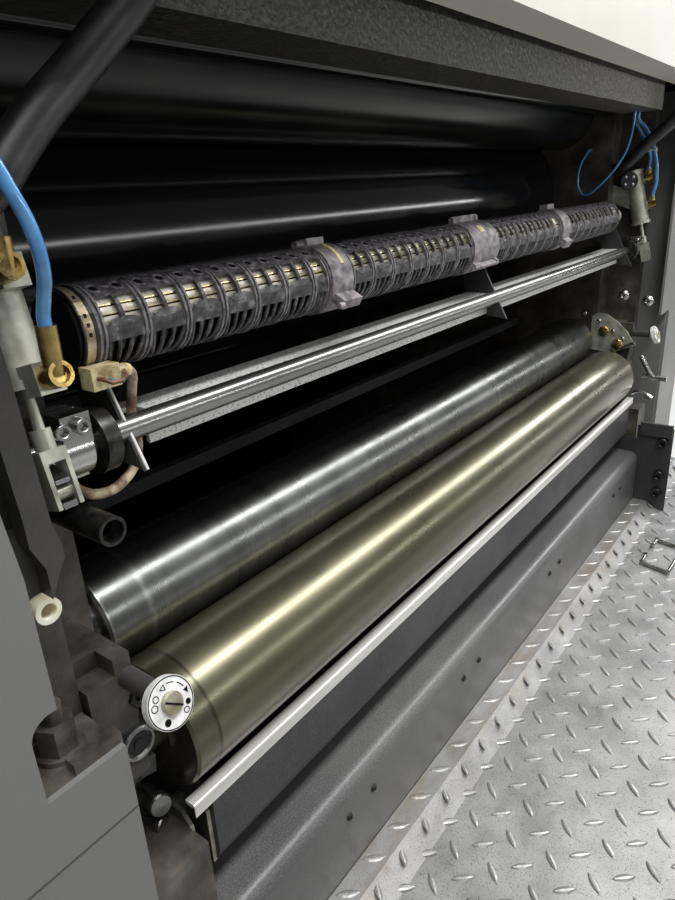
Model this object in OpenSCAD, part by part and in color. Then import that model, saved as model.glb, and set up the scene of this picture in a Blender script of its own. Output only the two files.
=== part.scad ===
// One printing unit of a sheet-fed offset press, seen from its footboard.
// X runs along the rollers, Y into the machine, Z up. The origin is on the floor, under the middle.

/* [Unit] */
// Width over the outer covers
unit_w = 1600; // [1440:10:1800]
// Depth from the front covers to the rear panel
unit_d = 900; // [800:10:1000]
// Height from the floor to the top of the upper housing
unit_h = 1750; // [1650:10:1900]
// Height of the base plinth
plinth_h = 120; // [80:5:160]
// How far the plinth stands back from the covers
plinth_inset = 30; // [15:5:50]
// Radius of the upright corners of the housings
corner_r = 30; // [10:5:50]

/* [Side frames] */
// Clear width between the side frames
frame_gap = 1096; // [1080:4:1110]
// Thickness of a side frame
frame_t = 47; // [42:1:60]
// How far a side frame's upper front edge stands behind the covers
frame_back = 100; // [94:1:104]
// How far its lower front edge stands behind the covers
frame_low_back = 8; // [5:1:12]
// Height of that lower part above the footboard
frame_low_up = 180; // [150:5:200]
// Width of the outer rib on a side frame
rib_w = 22; // [16:1:26]
// How far the rib's front edge stands behind the covers
rib_back = 45; // [35:1:50]

/* [Covers] */
// Thickness of the sheet covers
cover_t = 4; // [3:0.5:6]
// Gap between a side frame and the lower part of its front cover
cover_edge_gap = 2; // [1:0.5:6]
// Step outward in the upper part of the left cover's inner edge
cover_step = 32; // [24:1:40]
// Height of the notch's lower edge above the footboard
notch_up = 312; // [300:1:330]
// Height of the notch
notch_h = 50; // [40:1:60]
// Depth of the notch into the cover
notch_in = 48; // [40:1:52]
// Height above the footboard where the left cover's corner begins to slope
slope_up = 437; // [420:1:460]
// Sideways reach of the sloped corner
slope_run = 26; // [10:1:40]

/* [Footboard] */
// Height of the footboard's top above the floor
board_up = 300; // [250:5:350]
// Depth of the footboard in front of the covers
board_d = 480; // [400:10:520]
// Thickness of the tread plate
board_t = 6; // [4:0.5:10]
// Height of the folded front edge
board_skirt = 60; // [40:5:90]
// Drop from the rear strip to the main plate
board_step = 14; // [8:1:20]
// Width of the supports under the footboard
support_w = 80; // [60:5:120]
// How far the outer supports stand in from the footboard's ends
support_inset = 60; // [40:5:120]
// Radius of the lifting handle's wire
handle_wire_r = 3; // [2:0.5:4]

/* [Sill] */
// Depth of the lower crossbeam between the side frames
low_beam_d = 90; // [70:5:110]
// How far the lower crossbeam stands behind the covers
low_beam_back = 60; // [40:5:80]
// Height of the sill above the footboard
sill_h = 97; // [80:1:100]
// Bend radius of the sill's upper edge
sill_r = 14; // [8:1:20]
// Thickness of the sill sheet
sill_t = 3; // [2:0.5:5]
// Gap between the sill's ends and the side frames
sill_gap = 5; // [4.5:0.5:8]

/* [Rollers] */
// Length of the roller faces
roller_l = 1046; // [1030:2:1050]
// How far the two damping rollers sit to the left of the middle
roller_shift = 18; // [0:1:18]
// Radius of the pan roller
pan_roller_r = 49; // [45:0.5:51]
// Distance of the pan roller's axis behind the covers
pan_roller_back = 62; // [58:1:66]
// Height of the pan roller's axis above the footboard
pan_roller_up = 248; // [244:1:256]
// Radius of the metering roller
metering_r = 43.5; // [40:0.5:46]
// Rise of the line from the pan roller to the metering roller, in degrees
metering_rise = 39.3; // [36:0.1:44]
// Gap left in each nip
nip = 1; // [0.6:0.1:2]
// Radius of the roller journals
journal_r = 20; // [16:0.5:22]
// Radius of the pan roller's journals
pan_journal_r = 14; // [10:0.5:16]
// Width of the carriers that hold the pan roller
carrier_w = 32; // [28:1:32]
// How far the carriers stand outside the frames' inner faces
carrier_in = 14; // [10:1:14]
// Running clearance round a journal or shaft
run_gap = 0.1; // [0.05:0.01:0.1]

/* [Plate cylinder] */
// Radius of the plate cylinder
plate_r = 135; // [125:1:140]
// Distance of its axis behind the covers
plate_back = 322; // [315:1:335]
// Height of its axis above the footboard
plate_up = 560; // [550:1:570]
// Width of the bearer ring at each end
bearer_w = 24; // [18:1:30]
// Width of the gap that holds the plate clamps
clamp_gap_w = 60; // [50:1:80]
// Depth of that gap
clamp_gap_d = 40; // [30:1:50]
// Radius of the form roller
form_r = 60; // [55:0.5:62]
// Rise of the line from the plate cylinder to the form roller, in degrees
form_rise = 134.4; // [130:0.2:138]

/* [Water pan] */
// Height of the pan's upper edge above the footboard
pan_up = 200; // [196:1:203]
// Depth of the pan
pan_h = 74; // [60:1:80]
// Width of the pan from front to back
pan_w = 112; // [106:1:116]
// Distance of the pan's front behind the covers
pan_back = 21; // [19:1:23]
// Wall of the pan
pan_t = 3; // [2:0.5:4]
// Width of the bright lip strip
lip_w = 10; // [6:0.5:10]
// Height of the lip strip
lip_h = 3; // [2:0.5:5]

/* [Swing frame] */
// Radius of the pivot tube
pivot_r = 8; // [6:0.5:10]
// Distance of the pivot axis behind the covers
pivot_back = 60; // [56:1:64]
// Height of the pivot axis above the footboard
pivot_up = 468; // [460:1:476]
// Radius of the slatted core
core_r = 22.5; // [20:0.5:24]
// Distance of the core's axis behind the pivot axis
core_back = 20; // [16:1:24]
// Height of the core's axis above the pivot axis
core_up = 61; // [58:1:66]
// Distance of the outer bracket plates from the middle
bracket_out = 526; // [520:1:528]
// Radius of the stub shaft at the core's right end
stub_r = 12; // [10:0.5:14]
// Wall of a lattice sleeve
sleeve_t = 4; // [3:0.5:4.5]
// Thickness of the bracket plates
bracket_t = 3; // [2:0.5:5]

/* [Air cylinders] */
// Distance of the lever roller's axis in front of the pivot axis
lever_reach = 25; // [22:1:28]
// Distance of the lever roller's axis below the pivot axis
lever_drop = 12; // [8:1:14]
// Radius of the piston rod
rod_r = 3; // [2.5:0.5:4]
// Radius of the lever roller
roller_pin_r = 4; // [3:0.25:4.5]
// Width of the gap in the clevis fork
fork_gap = 10; // [8:0.5:11]
// Distance of the rod's axis outside the side frame's inner face
rod_out = 36; // [35:0.5:38]
// Lean of the cylinders to the rear, in degrees
cyl_lean = 14; // [13:0.5:15]
// Radius of the cylinders' barrels
barrel_r = 14; // [12:0.5:15]
// Radius of the blue air hoses
air_hose_r = 3.25; // [2:0.25:3.5]
// Radius of the thick black hoses
black_hose_r = 10; // [8:0.5:10.5]

/* [Beam] */
// Height of the crossbeam's lower edge above the footboard
beam_up = 690; // [680:1:700]
// Height of the crossbeam's face
beam_h = 66; // [50:1:80]
// Distance of the crossbeam's face behind the covers
beam_back = 26; // [20:1:32]
// Depth of the crossbeam
beam_d = 60; // [50:1:70]
// Radius of the guard tube under the beam
guard_r = 10; // [7:0.5:10]
// Distance of the guard tube's axis behind the covers
guard_back = 110; // [106:1:112]
// Height of its axis above the footboard
guard_up = 698; // [690:1:705]
// How far the upper housing stands in front of the covers
brow = 35; // [20:1:50]
// Height of the upper housing's lower edge above the footboard
upper_up = 725; // [715:1:735]
// Thickness of the upper housing's sheet
housing_t = 4; // [3:0.5:6]
// Depth of the fold along its lower front edge
housing_fold = 45; // [40:1:50]

/* [Hidden] */
$fn = 72;

front_y = (board_d - unit_d) / 2;
rear_y = front_y + unit_d;
half_w = unit_w / 2;
inner_x = frame_gap / 2;
outer_x = inner_x + frame_t;
edge_y = front_y + frame_back;
rib_y = front_y + rib_back;
lower_cover_x = outer_x + cover_edge_gap;
pocket_x = outer_x + rib_w + 36;
upper_z = board_up + upper_up;
frame_top = upper_z + 60;
board_z = board_up - board_step;
shaft_in = 40;
face_x = roller_l / 2;
pan_end = face_x + 7;

pan_roller_y = front_y + pan_roller_back;
pan_roller_z = board_up + pan_roller_up;
metering_d = pan_roller_r + metering_r + nip;
metering_y = pan_roller_y + metering_d * cos(metering_rise);
metering_z = pan_roller_z + metering_d * sin(metering_rise);
plate_y = front_y + plate_back;
plate_z = board_up + plate_up;
form_d = plate_r + form_r + nip;
form_y = plate_y + form_d * cos(form_rise);
form_z = plate_z + form_d * sin(form_rise);
pivot_y = front_y + pivot_back;
pivot_z = board_up + pivot_up;
core_y = pivot_y + core_back;
core_z = pivot_z + core_up;
sleeve_r = core_r + sleeve_t;
clamp_r = sleeve_r + 1.5;
core_right = 466;
lever_y = pivot_y - lever_reach;
lever_z = pivot_z - lever_drop;
rod_x = inner_x + rod_out;
barrel_z = 57;
barrel_h = 91;
port_out = [28, 16];
clamp_out = 12;
disc_out = bracket_out + 17;
beam_z = board_up + beam_up;

// Routes of the hoses and the cable, through hand-chosen points
left_air_route = [
  [-584, -193.5, 846.5], [-584, -193.5, 850], [-584, -197, 859], [-585, -203, 870], [-588, -206, 888], [-595, -206, 908],
  [-601, -200, 930], [-605, -190, 965], [-606, -179, 989], [-606, -174, 991], [-606, -169, 991]
];
left_black_route = [
  [-500, -212, 1025], [-500, -212, 1017], [-503, -207, 1003], [-511, -199, 988], [-528, -193, 970], [-545, -190, 954],
  [-564, -190, 938], [-580, -190, 922], [-592, -189, 909], [-601, -184, 901], [-606, -176, 898], [-606, -165, 898]
];
right_black_route = [
  [558, -222, 1025], [558, -222, 1017], [556, -217, 1000], [551, -205, 977], [547, -185, 957], [545, -166, 940],
  [547, -145, 919], [553, -125, 906], [558, -116, 904], [558, -110, 904]
];
front_air_route = [
  [584, -175.5, 858], [584, -175.5, 862], [581, -179, 875], [577, -180, 892], [572, -173, 932], [557, -160, 965],
  [541, -150, 982], [541, -150, 990]
];
back_air_route = [
  [584, -164.5, 901.5], [584, -164.5, 905], [578, -167, 918], [567, -166, 932], [556, -150, 965], [547, -142, 982],
  [547, -142, 990]
];
thin_route = [
  [520, -150, 990], [520, -146, 948], [520, -136, 921], [520, -103, 880], [520, -86, 867], [520, -77, 865], [520, -69, 872],
  [520, -64, 893], [522, -67, 915], [530, -72, 930], [537, -74, 937], [543, -74, 937]
];
sensor_route = [
  [-526, -155, 806], [-521, -155, 806], [-515, -152, 804], [-509, -147, 799], [-506, -140, 788], [-507, -137, 770], [-507, -139, 757],
  [-513, -143, 744], [-527, -147, 735], [-546, -150, 734], [-558, -150, 740], [-563, -150, 747], [-563, -150, 751]
];

function unit(v) = v / norm(v);
function heading(p, i) = unit(p[min(i + 1, len(p) - 1)] - p[max(i - 1, 0)]);
function ring(p, i, r, n, side) =
  let (t = heading(p, i), u = unit(cross(t, side)), w = cross(t, u))
  [for (j = [0 : n - 1]) p[i] + r * (cos(360 * j / n) * u + sin(360 * j / n) * w)];

// A round tube swept through the points of a route that keeps near a plane square to side
module hose(p, r, n, side) {
  polyhedron(
    points = [for (i = [0 : len(p) - 1]) each ring(p, i, r, n, side)],
    faces = [
      [for (j = [0 : n - 1]) j],
      for (i = [0 : len(p) - 2], j = [0 : n - 1]) [i * n + j, (i + 1) * n + j, (i + 1) * n + (j + 1) % n, i * n + (j + 1) % n],
      [for (j = [n - 1 : -1 : 0]) (len(p) - 1) * n + j]
    ]
  );
}

// A round bar along X between two ends
module bar(r, x0, x1, y, z) {
  translate([x0, y, z]) rotate([0, 90, 0]) cylinder(r = r, h = x1 - x0);
}

// A round bar along Y between two ends
module peg(r, x, z, y0, y1) {
  translate([x, y1, z]) rotate([90, 0, 0]) cylinder(r = r, h = y1 - y0);
}

// A box given by its two corners
module block(a, b) {
  translate(a) cube(b - a);
}

// A profile drawn in Y and Z and carried along X between two ends
module along_x(x0, x1) {
  translate([x0, 0, 0]) rotate([90, 0, 90]) linear_extrude(x1 - x0) children();
}

// A profile drawn in X and Z and carried along Y between two faces
module along_y(y0, y1) {
  translate([0, y1, 0]) rotate([90, 0, 0]) linear_extrude(y1 - y0) children();
}

// The same piece on the left and on the right
module both_sides() {
  children();
  mirror([1, 0, 0]) children();
}

module base_plinth() {
  color("dimgray")
    block([-half_w + plinth_inset, front_y + plinth_inset, 0], [half_w - plinth_inset, rear_y - plinth_inset, plinth_h]);
}

module side_frame() {
  low_y = front_y + frame_low_back;
  low_z = board_up + frame_low_up;
  difference() {
    union() {
      along_x(inner_x, outer_x) polygon([
        [low_y, plinth_h], [rear_y - cover_t, plinth_h], [rear_y - cover_t, frame_top], [edge_y, frame_top],
        [edge_y, low_z + 30], [edge_y - 30, low_z], [low_y, low_z]
      ]);
      block([outer_x, rib_y, plinth_h], [outer_x + rib_w, edge_y + 40, upper_z]);
    }
    for (p = [[plate_y, plate_z], [form_y, form_z], [metering_y, metering_z]])
      bar(journal_r + run_gap, inner_x - 1, inner_x + shaft_in, p[0], p[1]);
    on_rod() translate([0, 0, barrel_z - 2]) cylinder(r = barrel_r + 2.5, h = barrel_h + 4);
  }
}

module right_side_frame() {
  color("#3a3a3c") side_frame();
}

module left_side_frame() {
  color("#3a3a3c") mirror([1, 0, 0]) side_frame();
}

// Closed casing outside a side frame, with a pocket at its front inner corner
module housing() {
  translate([0, 0, plinth_h]) linear_extrude(upper_z - plinth_h) difference() {
    translate([outer_x, front_y + cover_t]) square([half_w - outer_x, unit_d - cover_t]);
    translate([half_w - corner_r, rear_y - corner_r]) difference() {
      square(corner_r + 1);
      circle(corner_r);
    }
    translate([outer_x - 1, front_y]) square([pocket_x - outer_x + 1, frame_back + 40]);
  }
}

module right_housing() {
  color("#6f716e") housing();
}

module left_housing() {
  color("#6f716e") mirror([1, 0, 0]) housing();
}

module right_front_cover() {
  cut_z = board_up + 350;
  cut_x = pocket_x + 6;
  color("#6f716e") along_y(front_y, front_y + cover_t) polygon([
    [lower_cover_x, plinth_h], [half_w, plinth_h], [half_w, upper_z], [lower_cover_x, upper_z],
    [lower_cover_x, cut_z], [cut_x, cut_z], [cut_x, board_up], [lower_cover_x, board_up]
  ]);
}

// The left cover's inner edge steps outward above a notch, and its upper corner slopes
module left_front_cover() {
  low_z = board_up + notch_up;
  high_z = low_z + notch_h;
  slope_z = board_up + slope_up;
  step_x = lower_cover_x + cover_step;
  notch_x = lower_cover_x + notch_in;
  round_r = 12;
  color("#6f716e") along_y(front_y, front_y + cover_t) mirror([1, 0]) difference() {
    polygon([
      [half_w, plinth_h], [lower_cover_x, plinth_h], [lower_cover_x, low_z], [notch_x, low_z], [notch_x, high_z - round_r],
      [notch_x - round_r, high_z], [step_x, high_z], [step_x, slope_z], [step_x + slope_run, upper_z], [half_w, upper_z]
    ]);
    translate([notch_x - round_r, high_z - round_r]) circle(round_r);
  }
}

module rear_panel() {
  color("#6f716e") block([-outer_x, rear_y - cover_t, plinth_h], [outer_x, rear_y, upper_z]);
}

// Sheet hood, open below, with a fold along its lower front edge
module upper_housing() {
  y0 = front_y - brow;
  t = housing_t;
  color("#e0dccf") difference() {
    along_x(-half_w, half_w)
      polygon([[y0, upper_z], [rear_y, upper_z], [rear_y, unit_h], [y0 + 60, unit_h], [y0, unit_h - 60]]);
    along_x(-half_w + t, half_w - t)
      polygon([[y0 + t, upper_z + t], [rear_y - t, upper_z + t], [rear_y - t, unit_h - t], [y0 + 60 + t / 2, unit_h - t], [y0 + t, unit_h - 60 - t / 2]]);
    block([-half_w + t, y0 + housing_fold, upper_z - 1], [half_w - t, rear_y - t, upper_z + t + 1]);
  }
}

module upper_crossbeam() {
  beam_y = front_y + beam_back;
  color("#4b4a46") block([-inner_x, beam_y, beam_z], [inner_x, beam_y + beam_d, beam_z + beam_h]);
}

module guard_tube() {
  color("#1d1d1f") bar(guard_r, -inner_x, inner_x, front_y + guard_back, board_up + guard_up);
}

// Low bar in the dark space behind the rollers
module lower_guard_bar() {
  y0 = plate_y - 66;
  z1 = plate_z - plate_r - 88;
  color("#2a2a2c") block([-inner_x, y0, z1 - 14], [inner_x, y0 + 12, z1]);
}

// A roller with its two journals, turned as one piece about its axis, its face shifted to the left
module roller(r, journal, end, y, z, shift = 0) {
  collar = journal + 8;
  left = face_x + shift;
  right = face_x - shift;
  shoulder = min(left + 6, inner_x - 5);
  translate([0, y, z]) rotate([0, 90, 0]) rotate_extrude() polygon([
    [0, -end], [journal, -end], [journal, -shoulder], [collar, -shoulder], [collar, -left],
    [r - 2, -left], [r, -left + 2], [r, right - 2], [r - 2, right],
    [collar, right], [collar, right + 6], [journal, right + 6], [journal, end], [0, end]
  ]);
}

module plate_cylinder() {
  color("#151517") difference() {
    roller(plate_r, journal_r, inner_x + shaft_in - 5, plate_y, plate_z);
    block([-face_x + bearer_w, plate_y + plate_r - clamp_gap_d, plate_z - clamp_gap_w / 2],
          [face_x - bearer_w, plate_y + plate_r + 1, plate_z + clamp_gap_w / 2]);
  }
}

// Two bars in the cylinder's gap that grip the ends of the plate
module plate_clamps() {
  y0 = plate_y + plate_r - clamp_gap_d;
  end = face_x - bearer_w;
  color("#8b8c8e") for (z0 = [plate_z - clamp_gap_w / 2, plate_z + clamp_gap_w / 2 - 22])
    block([-end, y0, z0], [end, y0 + clamp_gap_d - 10, z0 + 22]);
}

module form_roller() {
  color("#161618") roller(form_r, journal_r, inner_x + shaft_in - 5, form_y, form_z);
}

module metering_roller() {
  color("#2c2e2d") roller(metering_r, journal_r, inner_x + shaft_in - 5, metering_y, metering_z, roller_shift);
}

module pan_roller() {
  end = inner_x + carrier_in + carrier_w - 2;
  color("#5f5a3f") roller(pan_roller_r, pan_journal_r, end, pan_roller_y, pan_roller_z, roller_shift);
}

// Cast arms in front of the frames that carry the pan roller
module roller_carriers() {
  x0 = inner_x + carrier_in;
  x1 = x0 + carrier_w;
  color("#4a4947") both_sides() difference() {
    union() {
      bar(pan_journal_r + 10, x0, x1, pan_roller_y, pan_roller_z);
      along_x(x0, x1) translate([pan_roller_y, pan_roller_z]) polygon([
        [-18, 16], [-24, 52], [-24, 90], [edge_y - pan_roller_y, 90], [edge_y - pan_roller_y, 6], [20, -14]
      ]);
    }
    bar(pan_journal_r + run_gap, x0 - 1, x1 + 1, pan_roller_y, pan_roller_z);
    block([x0 + 12, pan_roller_y - 25, pan_roller_z + 78], [x1 + 1, pan_roller_y - 6, pan_roller_z + 91]);
  }
}

// Round marked discs on short spindles, tilted up to the operator
module adjusting_dials() {
  x = inner_x + 18;
  z = pan_roller_z + 73;
  front = pan_roller_y - 24;
  color("#c9c9c6") both_sides() {
    peg(7, x, z, front - 38.5, front);
    translate([x, front - 42, z]) rotate([68, 0, 0]) translate([0, 0, -6]) cylinder(r = 16, h = 6);
    translate([x, front - 42, z]) rotate([68, 0, 0]) cylinder(r = 5, h = 3);
  }
}

// Fan-shaped plate over the ends of the rollers on the right
module bearing_plate() {
  color("#8d8a84") difference() {
    along_x(inner_x - 4, inner_x) translate([metering_y, metering_z]) polygon([
      [-26, -19], [-26, 43], [-36, 50], [-52, 48], [-74, 35], [-92, 18], [-104, -1], [-96, -9], [-74, -17], [-59, -22]
    ]);
    for (p = [[-47, 16], [-76, -4]])
      bar(7.5, inner_x - 5, inner_x + 1, metering_y + p[0], metering_z + p[1]);
  }
}

// Flat plate inside the right frame, with a flange at its top
module right_mounting_plate() {
  color("#566068") {
    along_x(inner_x - 4, inner_x) translate([front_y, board_up]) polygon([
      [-58, -board_step], [-47, -board_step], [-24, 0], [50, 0], [50, 125], [5, 125], [5, 152], [-58, 152]
    ]);
    block([inner_x - 10, front_y - 57, board_up + 136], [inner_x - 4, front_y - 1, board_up + 160]);
  }
}

// Milled angle in the left cover's notch with its bolt
module notch_bracket() {
  z0 = board_up + notch_up;
  y0 = front_y + cover_t;
  bolt = [-(outer_x + 25), front_y + 29, z0];
  color("#5c5a52") {
    block([-pocket_x, y0, z0 - 10], [-outer_x - 1, rib_y, z0]);
    block([-outer_x - 31, y0, z0], [-outer_x - 1, y0 + 9, z0 + 7]);
    translate(bolt) {
      cylinder(r = 14, h = 3);
      cylinder(r = 11.5, h = 21, $fn = 6);
      cylinder(r = 6, h = 32);
    }
  }
}

// Rough cast bar with a hooked lower end
module hook_bar() {
  y0 = rib_y - 20;
  z0 = board_up + 405;
  color("#2b2b2d") {
    along_y(y0, y0 + 12) translate([-outer_x - 4, z0]) polygon([
      [-10, 164], [-5, 147], [-3, 125], [1, 41], [4, 29], [4, 20], [0, 14], [-7, 0], [-7, 18],
      [-13, 33], [-13, 48], [-16, 99], [-19, 147], [-22, 164]
    ]);
    block([-outer_x - 24, y0 + 12, z0], [-outer_x - 9, rib_y, z0 + 38]);
    block([-outer_x - 24, y0 + 12, z0 + 126], [-outer_x - 9, rib_y, z0 + 164]);
  }
}

module cover_bush() {
  x = -(outer_x + 13);
  z = pivot_z - 71;
  color("#d9d2b4") difference() {
    peg(7.5, x, z, rib_y - 16, rib_y);
    peg(4.5, x, z, rib_y - 17, rib_y - 4);
  }
}

module handle_tube() {
  x = -(inner_x + 14);
  z = pivot_z - 44;
  color("#19191a") difference() {
    peg(9, x, z, edge_y - 71, edge_y);
    peg(7, x, z, edge_y - 72, edge_y - 63);
    peg(4.5, x, z, edge_y - 64, edge_y - 50);
  }
}

// Outline of the pan in Y and Z, drawn in by a distance
module pan_outline(t) {
  r = 18 - t;
  difference() {
    translate([t, t]) square([pan_w - 2 * t, pan_h + 1 - t]);
    translate([t, t]) difference() {
      square(r);
      translate([r, r]) circle(r);
    }
    translate([pan_w - t - r, t]) difference() {
      square(r);
      translate([0, r]) circle(r);
    }
  }
}

// Open trough with a rounded bottom and closed ends
module water_pan() {
  z1 = board_up + pan_up;
  color("#4a4c4d") difference() {
    along_x(-pan_end, pan_end) translate([front_y + pan_back, z1 - pan_h]) pan_outline(0);
    along_x(-pan_end + pan_t, pan_end - pan_t) translate([front_y + pan_back, z1 - pan_h]) pan_outline(pan_t);
    block([-pan_end - 1, front_y, z1], [pan_end + 1, front_y + 200, z1 + 2]);
    bar(pan_roller_r + 5, -pan_end - 1, pan_end + 1, pan_roller_y, pan_roller_z);
  }
}

// Bright rounded strip on the pan's front edge
module pan_lip() {
  y0 = front_y + pan_back;
  z0 = board_up + pan_up;
  end = inner_x - 2;
  color("#d8d6cc") along_x(-end, end) translate([y0, z0]) difference() {
    translate([-1, -8]) square([lip_w, lip_h + 8]);
    translate([0, -9]) square([lip_w, 9]);
    translate([-1, lip_h - 2]) difference() {
      square(2);
      translate([2, 0]) circle(2);
    }
  }
}

// Two thin plates at each end of the pan, joined by a web
module pan_end_plates() {
  y0 = front_y + pan_back;
  z1 = board_up + pan_up - 14;
  color("#8a8a86") both_sides() {
    for (x = [pan_end, inner_x - 3])
      along_x(x, x + 3) polygon([[y0 + 5, z1 - 56], [y0 + 5, z1 - 6], [y0 + 14, z1 + 4], [y0 + pan_w, z1 + 4], [y0 + pan_w, z1 - 56]]);
    block([pan_end + 3, y0 + 30, z1 - 50], [inner_x - 3, y0 + 34, z1]);
  }
}

// Bent sheet from the footboard up and back under the pan
module sill_cover() {
  z1 = board_up + sill_h;
  back = front_y + low_beam_back + low_beam_d;
  end = inner_x - sill_gap;
  color("#5b5c5c") along_x(-end, end) difference() {
    translate([front_y, plinth_h]) square([back - front_y, z1 - plinth_h]);
    translate([front_y + sill_t, plinth_h - 1]) square([back - front_y, z1 - plinth_h + 1 - sill_r]);
    translate([front_y + sill_r, z1 - sill_r - 1]) square([back - front_y, sill_r + 1 - sill_t]);
    translate([front_y + sill_r, z1 - sill_r]) circle(sill_r - sill_t);
    translate([front_y, z1 - sill_r]) difference() {
      square(sill_r);
      translate([sill_r, 0]) circle(sill_r);
    }
  }
}

module lower_crossbeam() {
  y0 = front_y + low_beam_back;
  color("#333335") block([-inner_x, y0, plinth_h], [inner_x, y0 + low_beam_d, board_up + sill_h - sill_t]);
}

// Tread plate with a raised strip along the sill and a folded front edge
module footboard() {
  y0 = front_y - board_d;
  t = board_t;
  color("#b4b4b2") along_x(-half_w, half_w) polygon([
    [front_y - 0.5, board_up], [front_y - 24, board_up], [front_y - 47, board_z], [y0, board_z],
    [y0, board_z - board_skirt], [y0 + t, board_z - board_skirt], [y0 + t, board_z - t],
    [front_y - 49, board_z - t], [front_y - 26, board_up - t], [front_y - 0.5, board_up - t]
  ]);
}

// Folded wire loop that lies on the footboard
module lifting_handle() {
  wire = [[389, -76, 0], [415, -77, 0], [404, -121, 0], [312, -118, 0], [323, -75, 0], [351, -74, 0]];
  r = handle_wire_r;
  color("#b8b4a4") translate([0, front_y, board_z]) {
    for (p = wire) translate(p) cylinder(r = r + 0.5, h = 2 * r + 1);
    for (i = [0 : len(wire) - 2]) {
      d = wire[i + 1] - wire[i];
      translate(wire[i] + [0, 0, r + 0.5]) rotate([0, 90, atan2(d[1], d[0])]) cylinder(r = r, h = norm(d));
    }
  }
}

module footboard_supports() {
  y0 = front_y - board_d + board_t;
  color("#55565a") for (x = [-half_w + support_inset, -support_w / 2, half_w - support_inset - support_w])
    block([x, y0, 0], [x + support_w, front_y - 50, board_z - board_t]);
}

module pivot_bearings() {
  color("#222224") both_sides() difference() {
    union() {
      bar(20, inner_x - 10, inner_x, pivot_y, pivot_z);
      block([inner_x - 10, pivot_y, pivot_z - 20], [inner_x, edge_y + 30, pivot_z + 4]);
    }
    bar(pivot_r + run_gap, inner_x - 11, inner_x + 1, pivot_y, pivot_z);
  }
}

module pivot_tube() {
  color("#6b6c6c") bar(pivot_r, -rod_x + clamp_out, rod_x - clamp_out, pivot_y, pivot_z);
}

// Light angle behind the pivot tube, notched where the sensor's cable crosses it
module angle_bar() {
  end = bracket_out;
  y0 = pivot_y + pivot_r;
  z1 = pivot_z + 6;
  color("#8f8f8c") difference() {
    block([-end, y0, z1 - 24], [end, y0 + 26, z1]);
    block([-end - 1, y0 + 3, z1 - 25], [end + 1, y0 + 27, z1 - 3]);
    block([-end + 8, y0 - 1, z1 - 25], [-end + 26, y0 + 12, z1 + 1]);
  }
}

// Thin triangular plates that carry the tube, the angle bar and the core
module bracket(x, hole) {
  along_x(x, x + bracket_t) difference() {
    translate([pivot_y, pivot_z]) polygon([
      [-18, -23], [-5, -21], [32, -20], [core_back + 24, core_up - 8], [core_back + 20, core_up],
      [16, core_up + 2], [14, 38]
    ]);
    translate([pivot_y, pivot_z]) circle(pivot_r);
    translate([pivot_y + pivot_r - 1, pivot_z - 18]) square([4, 24]);
    translate([pivot_y + pivot_r, pivot_z + 3]) square([26, 3]);
    translate([core_y, core_z]) circle(hole);
  }
}

module swing_brackets() {
  color("#2a2a2c") {
    bracket(-bracket_out, core_r + run_gap);
    bracket(0, sleeve_r);
    bracket(bracket_out - bracket_t, stub_r);
    along_x(-bracket_out, -bracket_out + bracket_t)
      translate([pivot_y, pivot_z]) polygon([[0, 32], [14, 32], [14, 38.5], [6, 42.5], [-2, 42.5]]);
  }
}

// Drum with shallow grooves between its slats, and the stub at its right end
module slatted_core() {
  slats = 16;
  x0 = -disc_out + 6;
  color("#c2b98a") {
    along_x(x0, core_right) translate([core_y, core_z]) difference() {
      circle(core_r);
      for (i = [0 : slats - 1]) rotate(i * 360 / slats) translate([core_r - 2, -1]) square([4, 2]);
    }
    bar(stub_r, core_right, bracket_out, core_y, core_z);
  }
}

// A part of a ring about the core, from one angle to another, both from the top to the front
module arc_shell(x0, x1, r, t, a0, a1) {
  am = (a0 + a1) / 2;
  far = 2 * r;
  along_x(x0, x1) translate([core_y, core_z]) intersection() {
    difference() {
      circle(r);
      circle(r - t);
    }
    polygon([[0, 0], for (a = [a0, am, a1]) far * [cos(90 + a), sin(90 + a)]]);
  }
}

// One lattice sleeve: thick and thin rings, a flat band, eyelets on top and long bars behind
module sleeve(x0, x1, pitch) {
  n = floor((x1 - x0 - 5) / pitch);
  for (i = [0 : n]) {
    w = i % 2 == 0 ? 5 : 3;
    arc_w = i == n ? x1 - 5 : x0 + i * pitch;
    along_x(arc_w, arc_w + w) translate([core_y, core_z]) difference() {
      circle(sleeve_r);
      circle(core_r);
    }
  }
  arc_shell(x0, x1, sleeve_r - 0.5, sleeve_t - 1, 66, 92);
  arc_shell(x0, x1, sleeve_r - 0.5, sleeve_t - 1, -10, 10);
  arc_shell(x0, x1, sleeve_r - 0.5, sleeve_t - 1, 196, 214);
  arc_shell(x0, x1, sleeve_r - 0.5, sleeve_t - 1, 276, 294);
  for (i = [0 : n - 1]) translate([x0 + (i + 0.5) * pitch, core_y, core_z + sleeve_r - 1]) difference() {
    cylinder(r = 4, h = 3);
    translate([0, 0, 1]) cylinder(r = 2, h = 3);
  }
}

module left_outer_sleeve() {
  color("#3a383c") sleeve(-bracket_out + bracket_t, -316, 16);
}

module left_inner_sleeve() {
  color("#3a383c") sleeve(-288, -65, 15.5);
}

module right_inner_sleeve() {
  color("#3a383c") sleeve(-5, 202, 20);
}

module right_outer_sleeve() {
  color("#3a383c") sleeve(230, core_right, 23);
}

// A block standing out from a clamp at an angle from the top to the front
module lug(x0, x1, a, up, w) {
  along_x(x0, x1) translate([core_y, core_z]) rotate(90 + a) translate([clamp_r - 1, -w / 2]) square([up, w]);
}

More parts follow.
